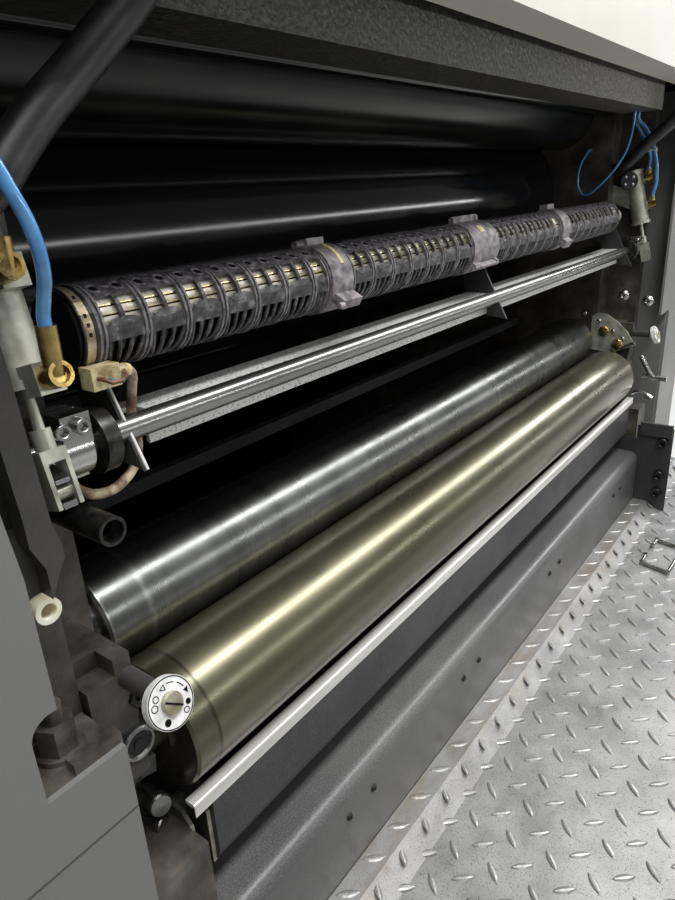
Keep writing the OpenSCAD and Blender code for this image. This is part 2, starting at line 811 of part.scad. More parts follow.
// Three clamps that close the sleeves round the core, each with its own lugs
module sleeve_clamps() {
  color("#5d5560") {
    for (c = [[-316, -288], [-65, -5], [202, 230]]) along_x(c[0], c[1]) translate([core_y, core_z]) difference() {
      circle(clamp_r);
      circle(core_r);
    }
    lug(-314, -292, -8, 6, 11);
    lug(-312, -288, 118, 12, 8);
    bar(3, -324, -314, core_y + 4, core_z + clamp_r + 1);
    bar(2.5, -318, -312, core_y - 34, core_z - 18);
    for (a = [-4, 124]) {
      lug(-64, -59, a, 6, 6);
      lug(-11, -6, a, 6, 6);
      lug(-64, -6, a, 7.5, 3);
    }
    lug(204, 228, -6, 7, 11);
    lug(204, 228, 122, 9, 10);
  }
}

module core_end_ring() {
  x0 = -disc_out + 6;
  color("#a8793a") difference() {
    bar(sleeve_r - 0.5, x0, -bracket_out, core_y, core_z);
    bar(core_r, x0 - 1, -bracket_out + 1, core_y, core_z);
  }
}

module core_end_disc() {
  color("#19191b") {
    bar(sleeve_r - 2, -disc_out, -disc_out + 6, core_y, core_z);
    bar(4, -disc_out - 1, -disc_out, core_y - 14, core_z + 4);
  }
}

// Plug block that the sensor's cable leaves
module connector_block() {
  color("#b8a878") block([-bracket_out - 19, pivot_y - 11, pivot_z + 31], [-bracket_out, pivot_y + 1, pivot_z + 44]);
}

module sensor_cable() {
  color("#8f7f66") hose(sensor_route, 3.2, 8, [0.3, 1, 0]);
}

// Split clamp on the shaft end with a slotted arm that takes the clevis roller
module lever() {
  slot_h = roller_pin_r + 1;
  line = lever_reach * sin(cyl_lean) + lever_drop * cos(cyl_lean);
  x1 = rod_x - clamp_out;
  arm_x = fork_gap / 2 - 1;
  color("#77767a") {
    along_x(x1 - 18, x1) translate([pivot_y, pivot_z]) difference() {
      union() {
        circle(16);
        translate([-16, 6]) square([26, 18]);
        translate([-4.5, -17]) square([9, 9]);
      }
      circle(pivot_r);
      translate([-4, 7]) square([2, 18]);
    }
    along_x(x1, rod_x + arm_x) translate([pivot_y, pivot_z]) circle(11);
    along_x(rod_x - arm_x, rod_x + arm_x) translate([pivot_y, pivot_z]) rotate(-cyl_lean) difference() {
      polygon([[-27, -line - 8.5], [4, -line - 8.5], [10, -6], [10, 0], [-9, 1], [-27, -line + 7.5]]);
      translate([-28, -line - slot_h]) square([20, 2 * slot_h]);
    }
  }
}

module right_lever() {
  lever();
}

module left_lever() {
  mirror([1, 0, 0]) lever();
}

// Along the leaning axis of an air cylinder, from the roller in its clevis upwards
module on_rod() {
  translate([rod_x, lever_y, lever_z]) rotate([-cyl_lean, 0, 0]) children();
}

// Rod, clevis and the roller on its pin
module rod() {
  color("#a7a892") on_rod() {
    translate([0, 0, 23]) cylinder(r = rod_r, h = 100);
    translate([0, 0, 23]) cylinder(r = 5.5, h = 12);
    difference() {
      block([-7.5, -6.5, -8], [7.5, 6.5, 24]);
      block([-fork_gap / 2, -7, -9], [fork_gap / 2, 7, 17]);
    }
    translate([-7.5, 0, 0]) rotate([0, 90, 0]) cylinder(r = roller_pin_r, h = 15);
  }
}

module right_rod() {
  rod();
}

module left_rod() {
  mirror([1, 0, 0]) rod();
}

// Barrel with two flanges, a port block to the front and a bracket back to the frame's edge
module air_cylinder(port, z0, z1) {
  color("#a7a892") difference() {
    union() {
      on_rod() {
        translate([0, 0, barrel_z]) cylinder(r = barrel_r, h = barrel_h);
        translate([0, 0, barrel_z]) cylinder(r = barrel_r + 2, h = 5);
        translate([0, 0, barrel_z + barrel_h - 8]) cylinder(r = barrel_r + 2, h = 8);
        for (z = [z0, z1]) block([-7, -port, z - 8], [7, 0, z + 8]);
      }
      along_x(rod_x - 9, rod_x + 9) translate([edge_y, pivot_z]) polygon([[-30, 70], [0, 80], [0, 110], [-30, 100]]);
    }
    on_rod() translate([0, 0, barrel_z - 10]) cylinder(r = rod_r + run_gap, h = barrel_h);
  }
}

module right_air_cylinder() {
  air_cylinder(port_out[1], 86, 131);
}

module left_air_cylinder() {
  mirror([1, 0, 0]) air_cylinder(port_out[0], 60, 112);
}

// A turned banjo on a port with the collar that takes the hose
module banjo(port, z, x, len) {
  translate([x, -port, z]) rotate([90, 0, 0]) difference() {
    cylinder(r = 6.5, h = 12);
    translate([0, 0, 10]) cylinder(r = 4.5, h = 3);
  }
  translate([x, -port - 6, z]) rotate([cyl_lean, 0, 0]) cylinder(r = 5, h = len);
}

module air_fittings() {
  color("#b8862e") {
    on_rod() {
      banjo(port_out[1], 86, 0, 13);
      banjo(port_out[1], 131, 0, 13);
    }
    mirror([1, 0, 0]) on_rod() {
      banjo(port_out[0], 60, 0, 24);
      banjo(port_out[0], 112, 6, 14);
    }
    peg(6, -outer_x - 11, 992, rib_y - 4, rib_y);
    bar(4, inner_x - 5, inner_x, -74, 937);
  }
}

module left_air_hose() {
  color("#4f93cf") hose(left_air_route, air_hose_r, 8, [0.3, 1, 0]);
}

module left_black_hose() {
  color("#202022") hose(left_black_route, black_hose_r, 12, [0, 1, 0.3]);
}

module right_black_hose() {
  color("#202022") hose(right_black_route, black_hose_r, 12, [1, 0, 0]);
}

module right_air_hose_front() {
  color("#5f9fd6") hose(front_air_route, air_hose_r, 8, [0, 1, 0.2]);
}

module right_air_hose_back() {
  color("#5f9fd6") hose(back_air_route, air_hose_r, 8, [0, 1, 0.2]);
}

module thin_air_hose() {
  color("#3a4a66") hose(thin_route, 2, 8, [1, 0.2, 0]);
}

base_plinth();
left_side_frame();
right_side_frame();
left_housing();
right_housing();
left_front_cover();
right_front_cover();
rear_panel();
upper_housing();
upper_crossbeam();
guard_tube();
lower_guard_bar();
plate_cylinder();
plate_clamps();
form_roller();
metering_roller();
pan_roller();
roller_carriers();
adjusting_dials();
bearing_plate();
right_mounting_plate();
notch_bracket();
hook_bar();
cover_bush();
handle_tube();
water_pan();
pan_lip();
pan_end_plates();
sill_cover();
lower_crossbeam();
footboard();
lifting_handle();
footboard_supports();
pivot_bearings();
pivot_tube();
angle_bar();
swing_brackets();
slatted_core();
left_outer_sleeve();
left_inner_sleeve();
right_inner_sleeve();
right_outer_sleeve();
sleeve_clamps();
core_end_ring();
core_end_disc();
connector_block();
sensor_cable();
left_lever();
right_lever();
left_air_cylinder();
right_air_cylinder();
air_fittings();
left_rod();
right_rod();
left_air_hose();
left_black_hose();
right_black_hose();
right_air_hose_front();
right_air_hose_back();
thin_air_hose();
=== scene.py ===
# %% [markdown]
# # One printing unit of an offset press
# The solids come from the CAD model, already in place. This lesson dresses them: cords first, then
# finishes, then the many small things such as tread lozenges, screws and the ribs of the lattice sleeves.
# Everything is in metres, with X along the rollers, Y into the machine and Z up.

# %% Load the frame
import math

import bmesh
import bpy
from mathutils import Matrix, Vector


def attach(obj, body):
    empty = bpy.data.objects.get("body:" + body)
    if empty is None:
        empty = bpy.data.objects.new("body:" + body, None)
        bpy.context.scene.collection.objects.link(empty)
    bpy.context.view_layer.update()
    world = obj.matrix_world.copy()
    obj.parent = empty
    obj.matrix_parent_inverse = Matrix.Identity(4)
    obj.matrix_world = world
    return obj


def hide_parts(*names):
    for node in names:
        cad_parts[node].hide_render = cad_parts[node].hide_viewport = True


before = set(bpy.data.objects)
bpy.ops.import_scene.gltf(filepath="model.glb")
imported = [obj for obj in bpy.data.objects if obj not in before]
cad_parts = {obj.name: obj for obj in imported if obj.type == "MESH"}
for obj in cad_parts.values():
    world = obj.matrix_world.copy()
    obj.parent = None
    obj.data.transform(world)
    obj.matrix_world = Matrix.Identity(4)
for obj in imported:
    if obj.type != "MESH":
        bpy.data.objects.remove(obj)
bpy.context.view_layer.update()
scene = bpy.context.scene


def put(thing):
    scene.collection.objects.link(thing)


# %% [markdown]
# The camera stands where the photographer stood: low beside the footboard, close to the left frame,
# looking across the rollers to the far frame. It was found from the vanishing points of the rollers,
# of the upright frames and of the tread plate, so it turns, tilts and rolls by those three angles.

# %% Camera
TURN, TILT, ROLL = 51.88, -21.27, -3.08
camera_data = bpy.data.cameras.new("camera")
camera_data.lens = 27
camera_data.sensor_width = 36
camera_data.clip_start = 0.01
camera = bpy.data.objects.new("camera", camera_data)
camera.matrix_world = (
    Matrix.Translation((-0.752, -0.495, 0.900))
    @ Matrix.Rotation(-math.radians(TURN), 4, "Z")
    @ Matrix.Rotation(math.radians(90 + TILT), 4, "X")
    @ Matrix.Rotation(math.radians(ROLL), 4, "Z")
)
put(camera)
scene.camera = camera
print("camera at", tuple(round(v, 3) for v in camera.location))

# %% [markdown]
# A finish is a small graph of shader nodes. These helpers keep such a graph readable: one makes the
# material and sets the values that are the same all over, and the others add noise, a colour ramp, a
# mix or a bump. All patterns are read from Object coordinates, so they are in metres on every piece.

# %% Helpers for finishes
FINISHES = {}


def finish(name, color, roughness=0.5, metallic=0.0, **sockets):
    """A new material and its shader, with the values that are the same all over."""
    material = bpy.data.materials.new(name)
    material.use_nodes = True
    shader = material.node_tree.nodes["Principled BSDF"]
    shader.inputs["Base Color"].default_value = (*color, 1)
    shader.inputs["Roughness"].default_value = roughness
    shader.inputs["Metallic"].default_value = metallic
    for label, value in sockets.items():
        shader.inputs[label.replace("_", " ").title().replace("Ior", "IOR")].default_value = value
    FINISHES[name] = material
    return material


def shader_of(material):
    return material.node_tree.nodes["Principled BSDF"]


def link(material, output, target):
    material.node_tree.links.new(output, target)


def place(material, stretch=(1, 1, 1)):
    """Object coordinates in metres, squeezed along each axis."""
    nodes = material.node_tree.nodes
    coordinates = nodes.new("ShaderNodeTexCoord")
    mapping = nodes.new("ShaderNodeMapping")
    mapping.inputs["Scale"].default_value = stretch
    link(material, coordinates.outputs["Object"], mapping.inputs["Vector"])
    return mapping.outputs["Vector"]


def noise(material, scale, detail=4.0, stretch=(1, 1, 1), rough=0.55):
    texture = material.node_tree.nodes.new("ShaderNodeTexNoise")
    texture.inputs["Scale"].default_value = scale
    texture.inputs["Detail"].default_value = detail
    texture.inputs["Roughness"].default_value = rough
    link(material, place(material, stretch), texture.inputs["Vector"])
    return texture.outputs["Fac"]


def ramp(material, factor, *stops):
    """A colour ramp through (position, grey or colour) stops."""
    node = material.node_tree.nodes.new("ShaderNodeValToRGB")
    elements = node.color_ramp.elements
    while len(elements) < len(stops):
        elements.new(0.5)
    for element, (position, value) in zip(elements, stops):
        color = (value, value, value) if isinstance(value, (int, float)) else value
        element.position = position
        element.color = (*color, 1)
    link(material, factor, node.inputs["Fac"])
    return node.outputs["Color"]


def mix(material, factor, first, second, kind="MIX"):
    node = material.node_tree.nodes.new("ShaderNodeMix")
    node.data_type = "RGBA"
    node.blend_type = kind
    for name, value in (("Factor", factor), ("A", first), ("B", second)):
        socket = [s for s in node.inputs if s.name == name and (s.type == "RGBA" or name == "Factor")][0]
        if isinstance(value, bpy.types.NodeSocket):
            link(material, value, socket)
        else:
            socket.default_value = value if isinstance(value, (int, float)) else (*value, 1)
    return [s for s in node.outputs if s.type == "RGBA"][0]


def bump(material, *layers):
    """Layers of (height, strength, distance), the coarsest first."""
    normal = None
    for height, strength, distance in layers:
        node = material.node_tree.nodes.new("ShaderNodeBump")
        node.inputs["Strength"].default_value = strength
        node.inputs["Distance"].default_value = distance
        link(material, height, node.inputs["Height"])
        if normal:
            link(material, normal, node.inputs["Normal"])
        normal = node.outputs["Normal"]
    link(material, normal, shader_of(material).inputs["Normal"])


def stained(material, scale, dark, light, low=0.35, high=0.65, stretch=(1, 1, 1), detail=5.0):
    """Colour that drifts between two tones in soft patches."""
    color = ramp(material, noise(material, scale, detail, stretch), (low, dark), (high, light))
    link(material, color, shader_of(material).inputs["Base Color"])


def uneven(material, scale, low, high, stretch=(1, 1, 1)):
    """Roughness that drifts between two values."""
    link(material, ramp(material, noise(material, scale, 4, stretch), (0.3, low), (0.7, high)),
         shader_of(material).inputs["Roughness"])


def along(material, axis, *stops):
    """A ramp along one axis of Object coordinates, its stops in metres, lowest first."""
    nodes = material.node_tree.nodes
    low, high = stops[0][0], stops[-1][0]
    split = nodes.new("ShaderNodeSeparateXYZ")
    link(material, place(material), split.inputs["Vector"])
    span = nodes.new("ShaderNodeMapRange")
    span.inputs["From Min"].default_value = low
    span.inputs["From Max"].default_value = high
    link(material, split.outputs[axis], span.inputs["Value"])
    spread = [((at - low) / (high - low), value) for at, value in stops]
    return ramp(material, span.outputs["Result"], *spread)


print("helpers ready")

# %% [markdown]
# The hoses and the sensor's cable come next. Each is a smooth curve through a few listed points,
# the same as in the CAD model, with a round bevel that gives it its thickness.

# %% Routes of the cords, in millimetres
AIR_R, BLACK_R, CABLE_R, THIN_R = 3.25, 10, 3.2, 2
ROUTES = {
    "left_air_hose": (AIR_R, "frame", [
        (-584, -193.5, 846.5), (-584, -193.5, 850), (-584, -197, 859), (-585, -203, 870),
        (-588, -206, 888), (-595, -206, 908), (-601, -200, 930), (-605, -190, 965), (-606, -179, 989),
        (-606, -174, 991), (-606, -169, 991)]),
    "left_black_hose": (BLACK_R, "frame", [
        (-500, -212, 1025), (-500, -212, 1017), (-503, -207, 1003), (-511, -199, 988), (-528, -193, 970),
        (-545, -190, 954), (-564, -190, 938), (-580, -190, 922), (-592, -189, 909), (-601, -184, 901),
        (-606, -176, 898), (-606, -165, 898)]),
    "right_black_hose": (BLACK_R, "frame", [
        (558, -222, 1025), (558, -222, 1017), (556, -217, 1000), (551, -205, 977), (547, -185, 957),
        (545, -166, 940), (547, -145, 919), (553, -125, 906), (558, -116, 904), (558, -110, 904)]),
    "right_air_hose_front": (AIR_R, "frame", [
        (584, -175.5, 858), (584, -175.5, 862), (581, -179, 875), (577, -180, 892), (572, -173, 932),
        (557, -160, 965), (541, -150, 982), (541, -150, 990)]),
    "right_air_hose_back": (AIR_R, "frame", [
        (584, -164.5, 901.5), (584, -164.5, 905), (578, -167, 918), (567, -166, 932), (556, -150, 965),
        (547, -142, 982), (547, -142, 990)]),
    "thin_air_hose": (THIN_R, "frame", [
        (520, -150, 990), (520, -146, 948), (520, -136, 921), (520, -103, 880), (520, -86, 867),
        (520, -77, 865), (520, -69, 872), (520, -64, 893), (522, -67, 915), (530, -72, 930),
        (537, -74, 937), (543, -74, 937)]),
    "sensor_cable": (CABLE_R, "swing_frame", [
        (-526, -155, 806), (-521, -155, 806), (-515, -152, 804), (-509, -147, 799), (-506, -140, 788),
        (-507, -137, 770), (-507, -139, 757), (-513, -143, 744), (-527, -147, 735), (-546, -150, 734),
        (-558, -150, 740), (-563, -150, 747), (-563, -150, 751)]),
}
MM = 0.001


# %% Draw the cords
def cord_curve(name, radius, points):
    """A round curve through the points, with its ends closed."""
    data = bpy.data.curves.new(name, "CURVE")
    data.dimensions = "3D"
    data.bevel_depth = radius * MM
    data.bevel_resolution = 4
    data.resolution_u = 10
    data.use_fill_caps = True
    spline = data.splines.new("BEZIER")
    spline.bezier_points.add(len(points) - 1)
    for knot, point in zip(spline.bezier_points, points):
        knot.co = Vector(point) * MM
        knot.handle_left_type = knot.handle_right_type = "AUTO"
    curve = bpy.data.objects.new(name + "_cord", data)
    put(curve)
    return curve


cords = {}
for name, (radius, body, points) in ROUTES.items():
    curve = cord_curve(name, radius, points)
    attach(curve, body)
    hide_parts(name)
    cords[name] = curve

# %% [markdown]
# Tube lights hang in a row over the aisle, parallel to the press. Tracing the bright streaks of the
# photograph back off the rollers gives their place: almost straight above the footboard. A wide lamp
# behind the camera fills the fronts, and a thin strip low in front draws the line on the plate cylinder.

# %% Light and floor
def area_lamp(name, spot, target, size, power):
    data = bpy.data.lights.new(name, "AREA")
    data.shape = "RECTANGLE"
    data.size, data.size_y = size
    data.energy = power
    lamp = bpy.data.objects.new(name, data)
    lamp.location = spot
    lamp.rotation_euler = (Vector(target) - Vector(spot)).to_track_quat("-Z", "Y").to_euler()
    put(lamp)


area_lamp("tube_light", (2.1, -0.86, 2.35), (2.1, -0.3, 0.5), (6.8, 0.36), 140)
area_lamp("near_light", (-1.6, -1.7, 2.2), (-0.3, -0.2, 0.6), (1.6, 1.0), 9)
area_lamp("low_strip", (1.6, -1.25, 1.015), (1.6, 0, 0.87), (3.6, 0.03), 8)
world = bpy.data.worlds.new("hall")
scene.world = world
world.use_nodes = True
world.node_tree.nodes["Background"].inputs["Color"].default_value = (0.86, 0.88, 0.9, 1)
world.node_tree.nodes["Background"].inputs["Strength"].default_value = 0.26
scene.view_settings.view_transform = "Standard"

REACH = 6.0
corners = [(-REACH, -REACH, 0), (REACH, -REACH, 0), (REACH, REACH, 0), (-REACH, REACH, 0)]
floor_mesh = bpy.data.meshes.new("floor")
floor_mesh.from_pydata(corners, [], [(0, 1, 2, 3)])
floor = bpy.data.objects.new("floor", floor_mesh)
put(floor)
floor_mesh.materials.append(finish("pale_floor", (0.6, 0.6, 0.58), 0.8))
print("three lamps and a floor")

# %% [markdown]
# Painted sheet shows a faint orange peel and a film of ink mist. The peel is a fine bump, and the mist
# a slow noise that darkens the colour a little. Many finishes are no more than that: a stain, a gleam
# that drifts and a relief. Each could be its own graph, but one call with the numbers is easier to read.

# %% A finish in one call
def paint(material, color):
    link(material, color, shader_of(material).inputs["Base Color"])


def plain(name, color, roughness, metallic=0.0, stain=None, gleam=None, relief=(), **sockets):
    """A finish from a stain, a drifting roughness and bumps of (strength, distance, noise...)."""
    m = finish(name, color, roughness, metallic, **sockets)
    if stain:
        stained(m, *stain)
    if gleam:
        uneven(m, *gleam)
    if relief:
        bump(m, *[(noise(m, *grain), strength, distance) for strength, distance, *grain in relief])
    return m


# %% Painted sheet
GREY, GREY_DARK = (0.175, 0.178, 0.168), (0.135, 0.137, 0.13)
PEEL = (0.12, 0.0004, 420, 2)
SEAM_Z, SEAM_HALF = 0.566, 0.0006
PANEL_Y = 0.6875

plain("grey_enamel", GREY, 0.4, stain=(2.2, GREY_DARK, GREY, 0.25, 0.75), gleam=(6, 0.34, 0.5), relief=[PEEL])
plain("pale_enamel", (0.66, 0.645, 0.585), 0.38, stain=(3, (0.6, 0.58, 0.51), (0.68, 0.665, 0.605)),
      relief=[(0.1, 0.0004, 420, 2)])


def two_coats(name, roughness, over, second, gleam=None):
    """Grey enamel with a second colour where a ramp along an axis says so."""
    m = plain(name, GREY, roughness, gleam=gleam, relief=[PEEL])
    first = ramp(m, noise(m, 2.2, 5), (0.25, GREY_DARK), (0.75, GREY))
    paint(m, mix(m, along(m, *over), first, second))


# The joint between the lower and the upper sheet of the left cover is a thin dark line.
SEAM_STOPS = ((-0.004, 0), (-0.0012, 0), (-SEAM_HALF, 1), (SEAM_HALF, 1), (0.0012, 0), (0.004, 0))
SEAM = [(SEAM_Z + reach, value) for reach, value in SEAM_STOPS]
two_coats("cover_enamel", 0.4, ("Z", *SEAM), (0.05, 0.05, 0.045), gleam=(6, 0.34, 0.5))
# The rear panel's inner face, in front of the sheet's middle, is painted near-black as painted shade.
INSIDE_SHADE = ((PANEL_Y - 0.0075, 1), (PANEL_Y - 0.0005, 1), (PANEL_Y + 0.001, 0), (PANEL_Y + 0.0125, 0))
two_coats("rear_enamel_and_shade", 0.45, ("Y", *INSIDE_SHADE), (0.006, 0.006, 0.006))
print("sheet painted")

# %% [markdown]
# The castings wear dark paint under years of oil, and the side frames are brown with grease. Machined
# edges stay bare and pale. Those edges could be pieces of their own, but each lies in one plane, so a
# ramp along one axis finds it.

# %% Castings and machined edges
def casting(name, color, scale, stops, gleam, grain):
    """Dark rough metal in soft patches."""
    m = plain(name, color, 0.5, gleam=gleam, relief=[(0.25, 0.001, 60, 3), (grain, 0.0006, 420, 3)])
    paint(m, ramp(m, noise(m, scale, 6), *stops))


casting("dark_casting", (0.04, 0.04, 0.042), 9,
        ((0.35, (0.012, 0.012, 0.013)), (0.6, (0.032, 0.031, 0.03)), (0.75, (0.055, 0.048, 0.04))),
        (22, 0.32, 0.62), 0.35)
casting("greasy_casting", (0.05, 0.045, 0.04), 26,
        ((0.34, (0.018, 0.016, 0.013)), (0.54, (0.052, 0.046, 0.038)), (0.74, (0.125, 0.11, 0.092))),
        (22, 0.34, 0.6), 0.4)

# The notched bracket is bright on the lower strip of its front edge, and brown with old oil elsewhere.
m = plain("milled_plate", (0.2, 0.19, 0.17), 0.4, 0.5, relief=[(0.3, 0.0005, 300, 3)])
oily = ramp(m, noise(m, 40, 5), (0.35, (0.05, 0.043, 0.036)), (0.65, (0.17, 0.155, 0.135)))
bare = ramp(m, noise(m, 90, 4), (0.3, (0.3, 0.3, 0.29)), (0.7, (0.55, 0.55, 0.53)))
front = along(m, "Y", (-0.215, 1), (-0.1945, 1), (-0.1935, 0), (-0.18, 0))
strip = along(m, "Z", (0.55, 1), (0.5995, 1), (0.6005, 0), (0.7, 0))
paint(m, mix(m, mix(m, 1.0, front, strip, "MULTIPLY"), oily, bare))

# The pan's end plates are ground to a pale tan on their front edge.
m = plain("edged_casting", (0.05, 0.05, 0.05), 0.5, relief=[(0.35, 0.0006, 300, 3)])
body = ramp(m, noise(m, 60, 5), (0.35, (0.018, 0.018, 0.018)), (0.68, (0.065, 0.062, 0.058)))
bare = ramp(m, noise(m, 160, 4), (0.3, (0.22, 0.2, 0.16)), (0.7, (0.46, 0.43, 0.36)))
paint(m, mix(m, along(m, "Y", (-0.194, 1), (-0.1834, 1), (-0.183, 0), (-0.164, 0)), body, bare))
print("castings ready")

# %% [markdown]
# The beam has hammered paint, painted lighter towards the drive side as painted light, where more light
# falls. The pan, the sill and the small plates have a satin enamel with a fine grain, and the sill's enamel
# is paler.

# %% Hammered and satin paint
m = plain("hammered_paint", (0.06, 0.057, 0.05), 0.45, relief=[(0.7, 0.0012, 240, 3)])
hammered = ramp(m, noise(m, 260, 3), (0.45, (0.022, 0.021, 0.02)), (0.72, (0.13, 0.122, 0.102)))
# The ramp along X is painted light: the beam is lighter towards the drive side, where more light falls.
paint(m, mix(m, 1.0, hammered, along(m, "X", (-0.5, 0.35), (0, 0.9), (0.5, 2.0)), "MULTIPLY"))


def satin(name, color, roughness, dark, light, dust, gleam, grain):
    m = plain(name, color, roughness, gleam=gleam, relief=[(grain, 0.0004, 700, 2)])
    fine = ramp(m, noise(m, 700, 3), (0.4, dark), (0.62, light))
    clouds = ramp(m, noise(m, 5, 5, (0.5, 1, 1)), (0.4, (0.75, 0.75, 0.75)), (0.75, dust))
    paint(m, mix(m, 1.0, fine, clouds, "MULTIPLY"))


satin("dark_enamel", (0.034, 0.035, 0.036), 0.5, (0.022, 0.023, 0.024), (0.048, 0.05, 0.05), (1.5, 1.47, 1.4),
      (9, 0.36, 0.58), 0.4)
# A paler copy of the dark enamel for the sill.
satin("sill_enamel", (0.1, 0.102, 0.1), 0.36, (0.07, 0.072, 0.072), (0.12, 0.122, 0.12), (1.45, 1.43, 1.38),
      (9, 0.3, 0.46), 0.3)
print("paints ready")

# %% [markdown]
# The rollers are what the eye goes to. Each is a mirror with a character of its own: the metering
# roller is dark chrome, the pan roller carries a thin yellowish film of damping water, the form roller
# is rubber and the plate cylinder black and glossy. Fine rings round the axis come from noise that is
# squeezed along X, so that its grains turn into turning marks.

# %% Roller finishes
TURNING = (1, 0.02, 0.02)
METERING_LEFT, METERING_RIGHT = -0.541, 0.505

# Dark chrome has a nicked bright edge at its left end and a fine ring further in.
m = plain("dark_chrome", (0.17, 0.175, 0.17), 0.28, 0.95, gleam=(40, 0.24, 0.33, TURNING),
          relief=[(0.05, 0.0003, 700, 3, TURNING)])
face = ramp(m, noise(m, 30, 4, TURNING), (0.3, (0.14, 0.145, 0.138)), (0.7, (0.21, 0.215, 0.205)))
ends = along(m, "X", (METERING_LEFT, 0.8), (METERING_LEFT + 0.0028, 0.8), (METERING_LEFT + 0.0034, 0),
             (-0.5045, 0), (-0.504, 0.4), (-0.5032, 0.4), (-0.5028, 0), (METERING_RIGHT - 0.0034, 0),
             (METERING_RIGHT - 0.0028, 0.6), (METERING_RIGHT, 0.6))
nicks = ramp(m, noise(m, 90, 3), (0.42, 0.15), (0.55, 1))
paint(m, mix(m, mix(m, 1.0, ends, nicks, "MULTIPLY"), face, (0.7, 0.7, 0.67)))

# Hard chrome under a dull olive film of water and gum, with dark rings near its left end.
m = plain("olive_chrome", (0.12, 0.112, 0.07), 0.3, 0.85, gleam=(25, 0.25, 0.35, (0.5, 1, 1)),
          relief=[(0.04, 0.0003, 500, 3, TURNING)], coat_weight=0.2, coat_roughness=0.2)
film = ramp(m, noise(m, 14, 4, (0.35, 1, 1)), (0.3, (0.1, 0.092, 0.055)), (0.55, (0.14, 0.13, 0.085)),
            (0.75, (0.18, 0.17, 0.118)))
rings = along(m, "X", (METERING_LEFT, 0.3), (-0.5215, 0.3), (-0.521, 0.9), (-0.5195, 0.9), (-0.519, 0),
              (-0.511, 0), (-0.5108, 0.6), (-0.51, 0.6), (-0.5095, 0), (0, 0))
paint(m, mix(m, rings, film, (0.03, 0.028, 0.018)))

plain("black_gloss", (0.005, 0.005, 0.0055), 0.12, gleam=(8, 0.09, 0.15), relief=[(0.02, 0.001, 30, 2)],
      specular_ior_level=0.25)
plain("black_rubber", (0.005, 0.005, 0.0055), 0.22,
      stain=(12, (0.003, 0.003, 0.0035), (0.008, 0.0078, 0.0075)), gleam=(10, 0.16, 0.26),
      specular_ior_level=0.28)
print("roller finishes ready")

# %% [markdown]
# Bare steel is streaked along its length, where it was ground and where cloths run. The flat bar
# behind the tube is pale all over, with paper dust and specks; its pale tone is partly painted light for its
# top face. Squeezing the noise along X draws the streaks without a picture.

# %% Steel and aluminium
plain("steel_tube", (0.26, 0.26, 0.255), 0.28, 0.95,
      stain=(24, (0.17, 0.17, 0.168), (0.34, 0.34, 0.33), 0.3, 0.7, (0.12, 1, 1)),
      gleam=(30, 0.22, 0.34, (0.1, 1, 1)))
plain("bright_steel", (0.42, 0.42, 0.41), 0.22, 1.0,
      stain=(50, (0.3, 0.3, 0.295), (0.5, 0.5, 0.48), 0.3, 0.7, (0.06, 1, 1)),
      gleam=(60, 0.14, 0.32, (0.06, 1, 1)))
plain("aluminium", (0.72, 0.71, 0.68), 0.42, 0.45,
      stain=(70, (0.52, 0.51, 0.48), (0.8, 0.79, 0.75), 0.3, 0.7, (0.08, 1, 1)),
      gleam=(120, 0.32, 0.5, (0.05, 1, 1)), relief=[(0.12, 0.0004, 300, 3, (0.03, 1, 1))])
# The pale base is partly painted light for the top face, which faces the lamps; the specks are dust.
m = plain("dusty_painted_light_steel", (0.75, 0.75, 0.72), 0.42, 0.2, relief=[(0.3, 0.0004, 420, 3)])
bar = ramp(m, noise(m, 18, 5, (0.4, 1, 1)), (0.3, (0.66, 0.66, 0.64)), (0.7, (0.86, 0.86, 0.83)))
specks = ramp(m, noise(m, 520, 3), (0.36, 0.35), (0.46, 1))
paint(m, mix(m, 1.0, bar, specks, "MULTIPLY"))
print("steels ready")

# %% [markdown]
# The footboard is galvanised tread plate. Zinc dries in soft grey clouds with tiny dark specks, and
# grease has collected brown along the sill. The two are mixed by distance from the sill.

# %% Tread plate
SILL_Y = -0.21
m = plain("tread_plate", (0.36, 0.36, 0.355), 0.42, 0.6, gleam=(30, 0.3, 0.55),
          relief=[(0.08, 0.0006, 120, 3)])
clouds = ramp(m, noise(m, 16, 6), (0.3, (0.27, 0.27, 0.268)), (0.7, (0.4, 0.4, 0.395)))
specks = ramp(m, noise(m, 900, 3), (0.34, (0.3, 0.3, 0.29)), (0.42, (1, 1, 1)))
zinc = mix(m, 1.0, clouds, specks, "MULTIPLY")
near = along(m, "Y", (SILL_Y - 0.055, 0), (SILL_Y - 0.012, 1))
smear = ramp(m, noise(m, 28, 5, (0.6, 1.6, 1)), (0.4, 0), (0.72, 0.75))
paint(m, mix(m, mix(m, 1.0, smear, near, "MULTIPLY"), zinc, (0.2, 0.15, 0.09)))
print("tread plate ready")

# %% [markdown]
# Castings of zinc, brass fittings and small steel parts are stained in patches a few millimetres wide.
# Plastics come last. The sleeves are dusty purple-black mouldings with lint on their top, and the
# hoses are translucent blue tube: a little transmission and a bright coat make them look like tube and
# not like painted wire.

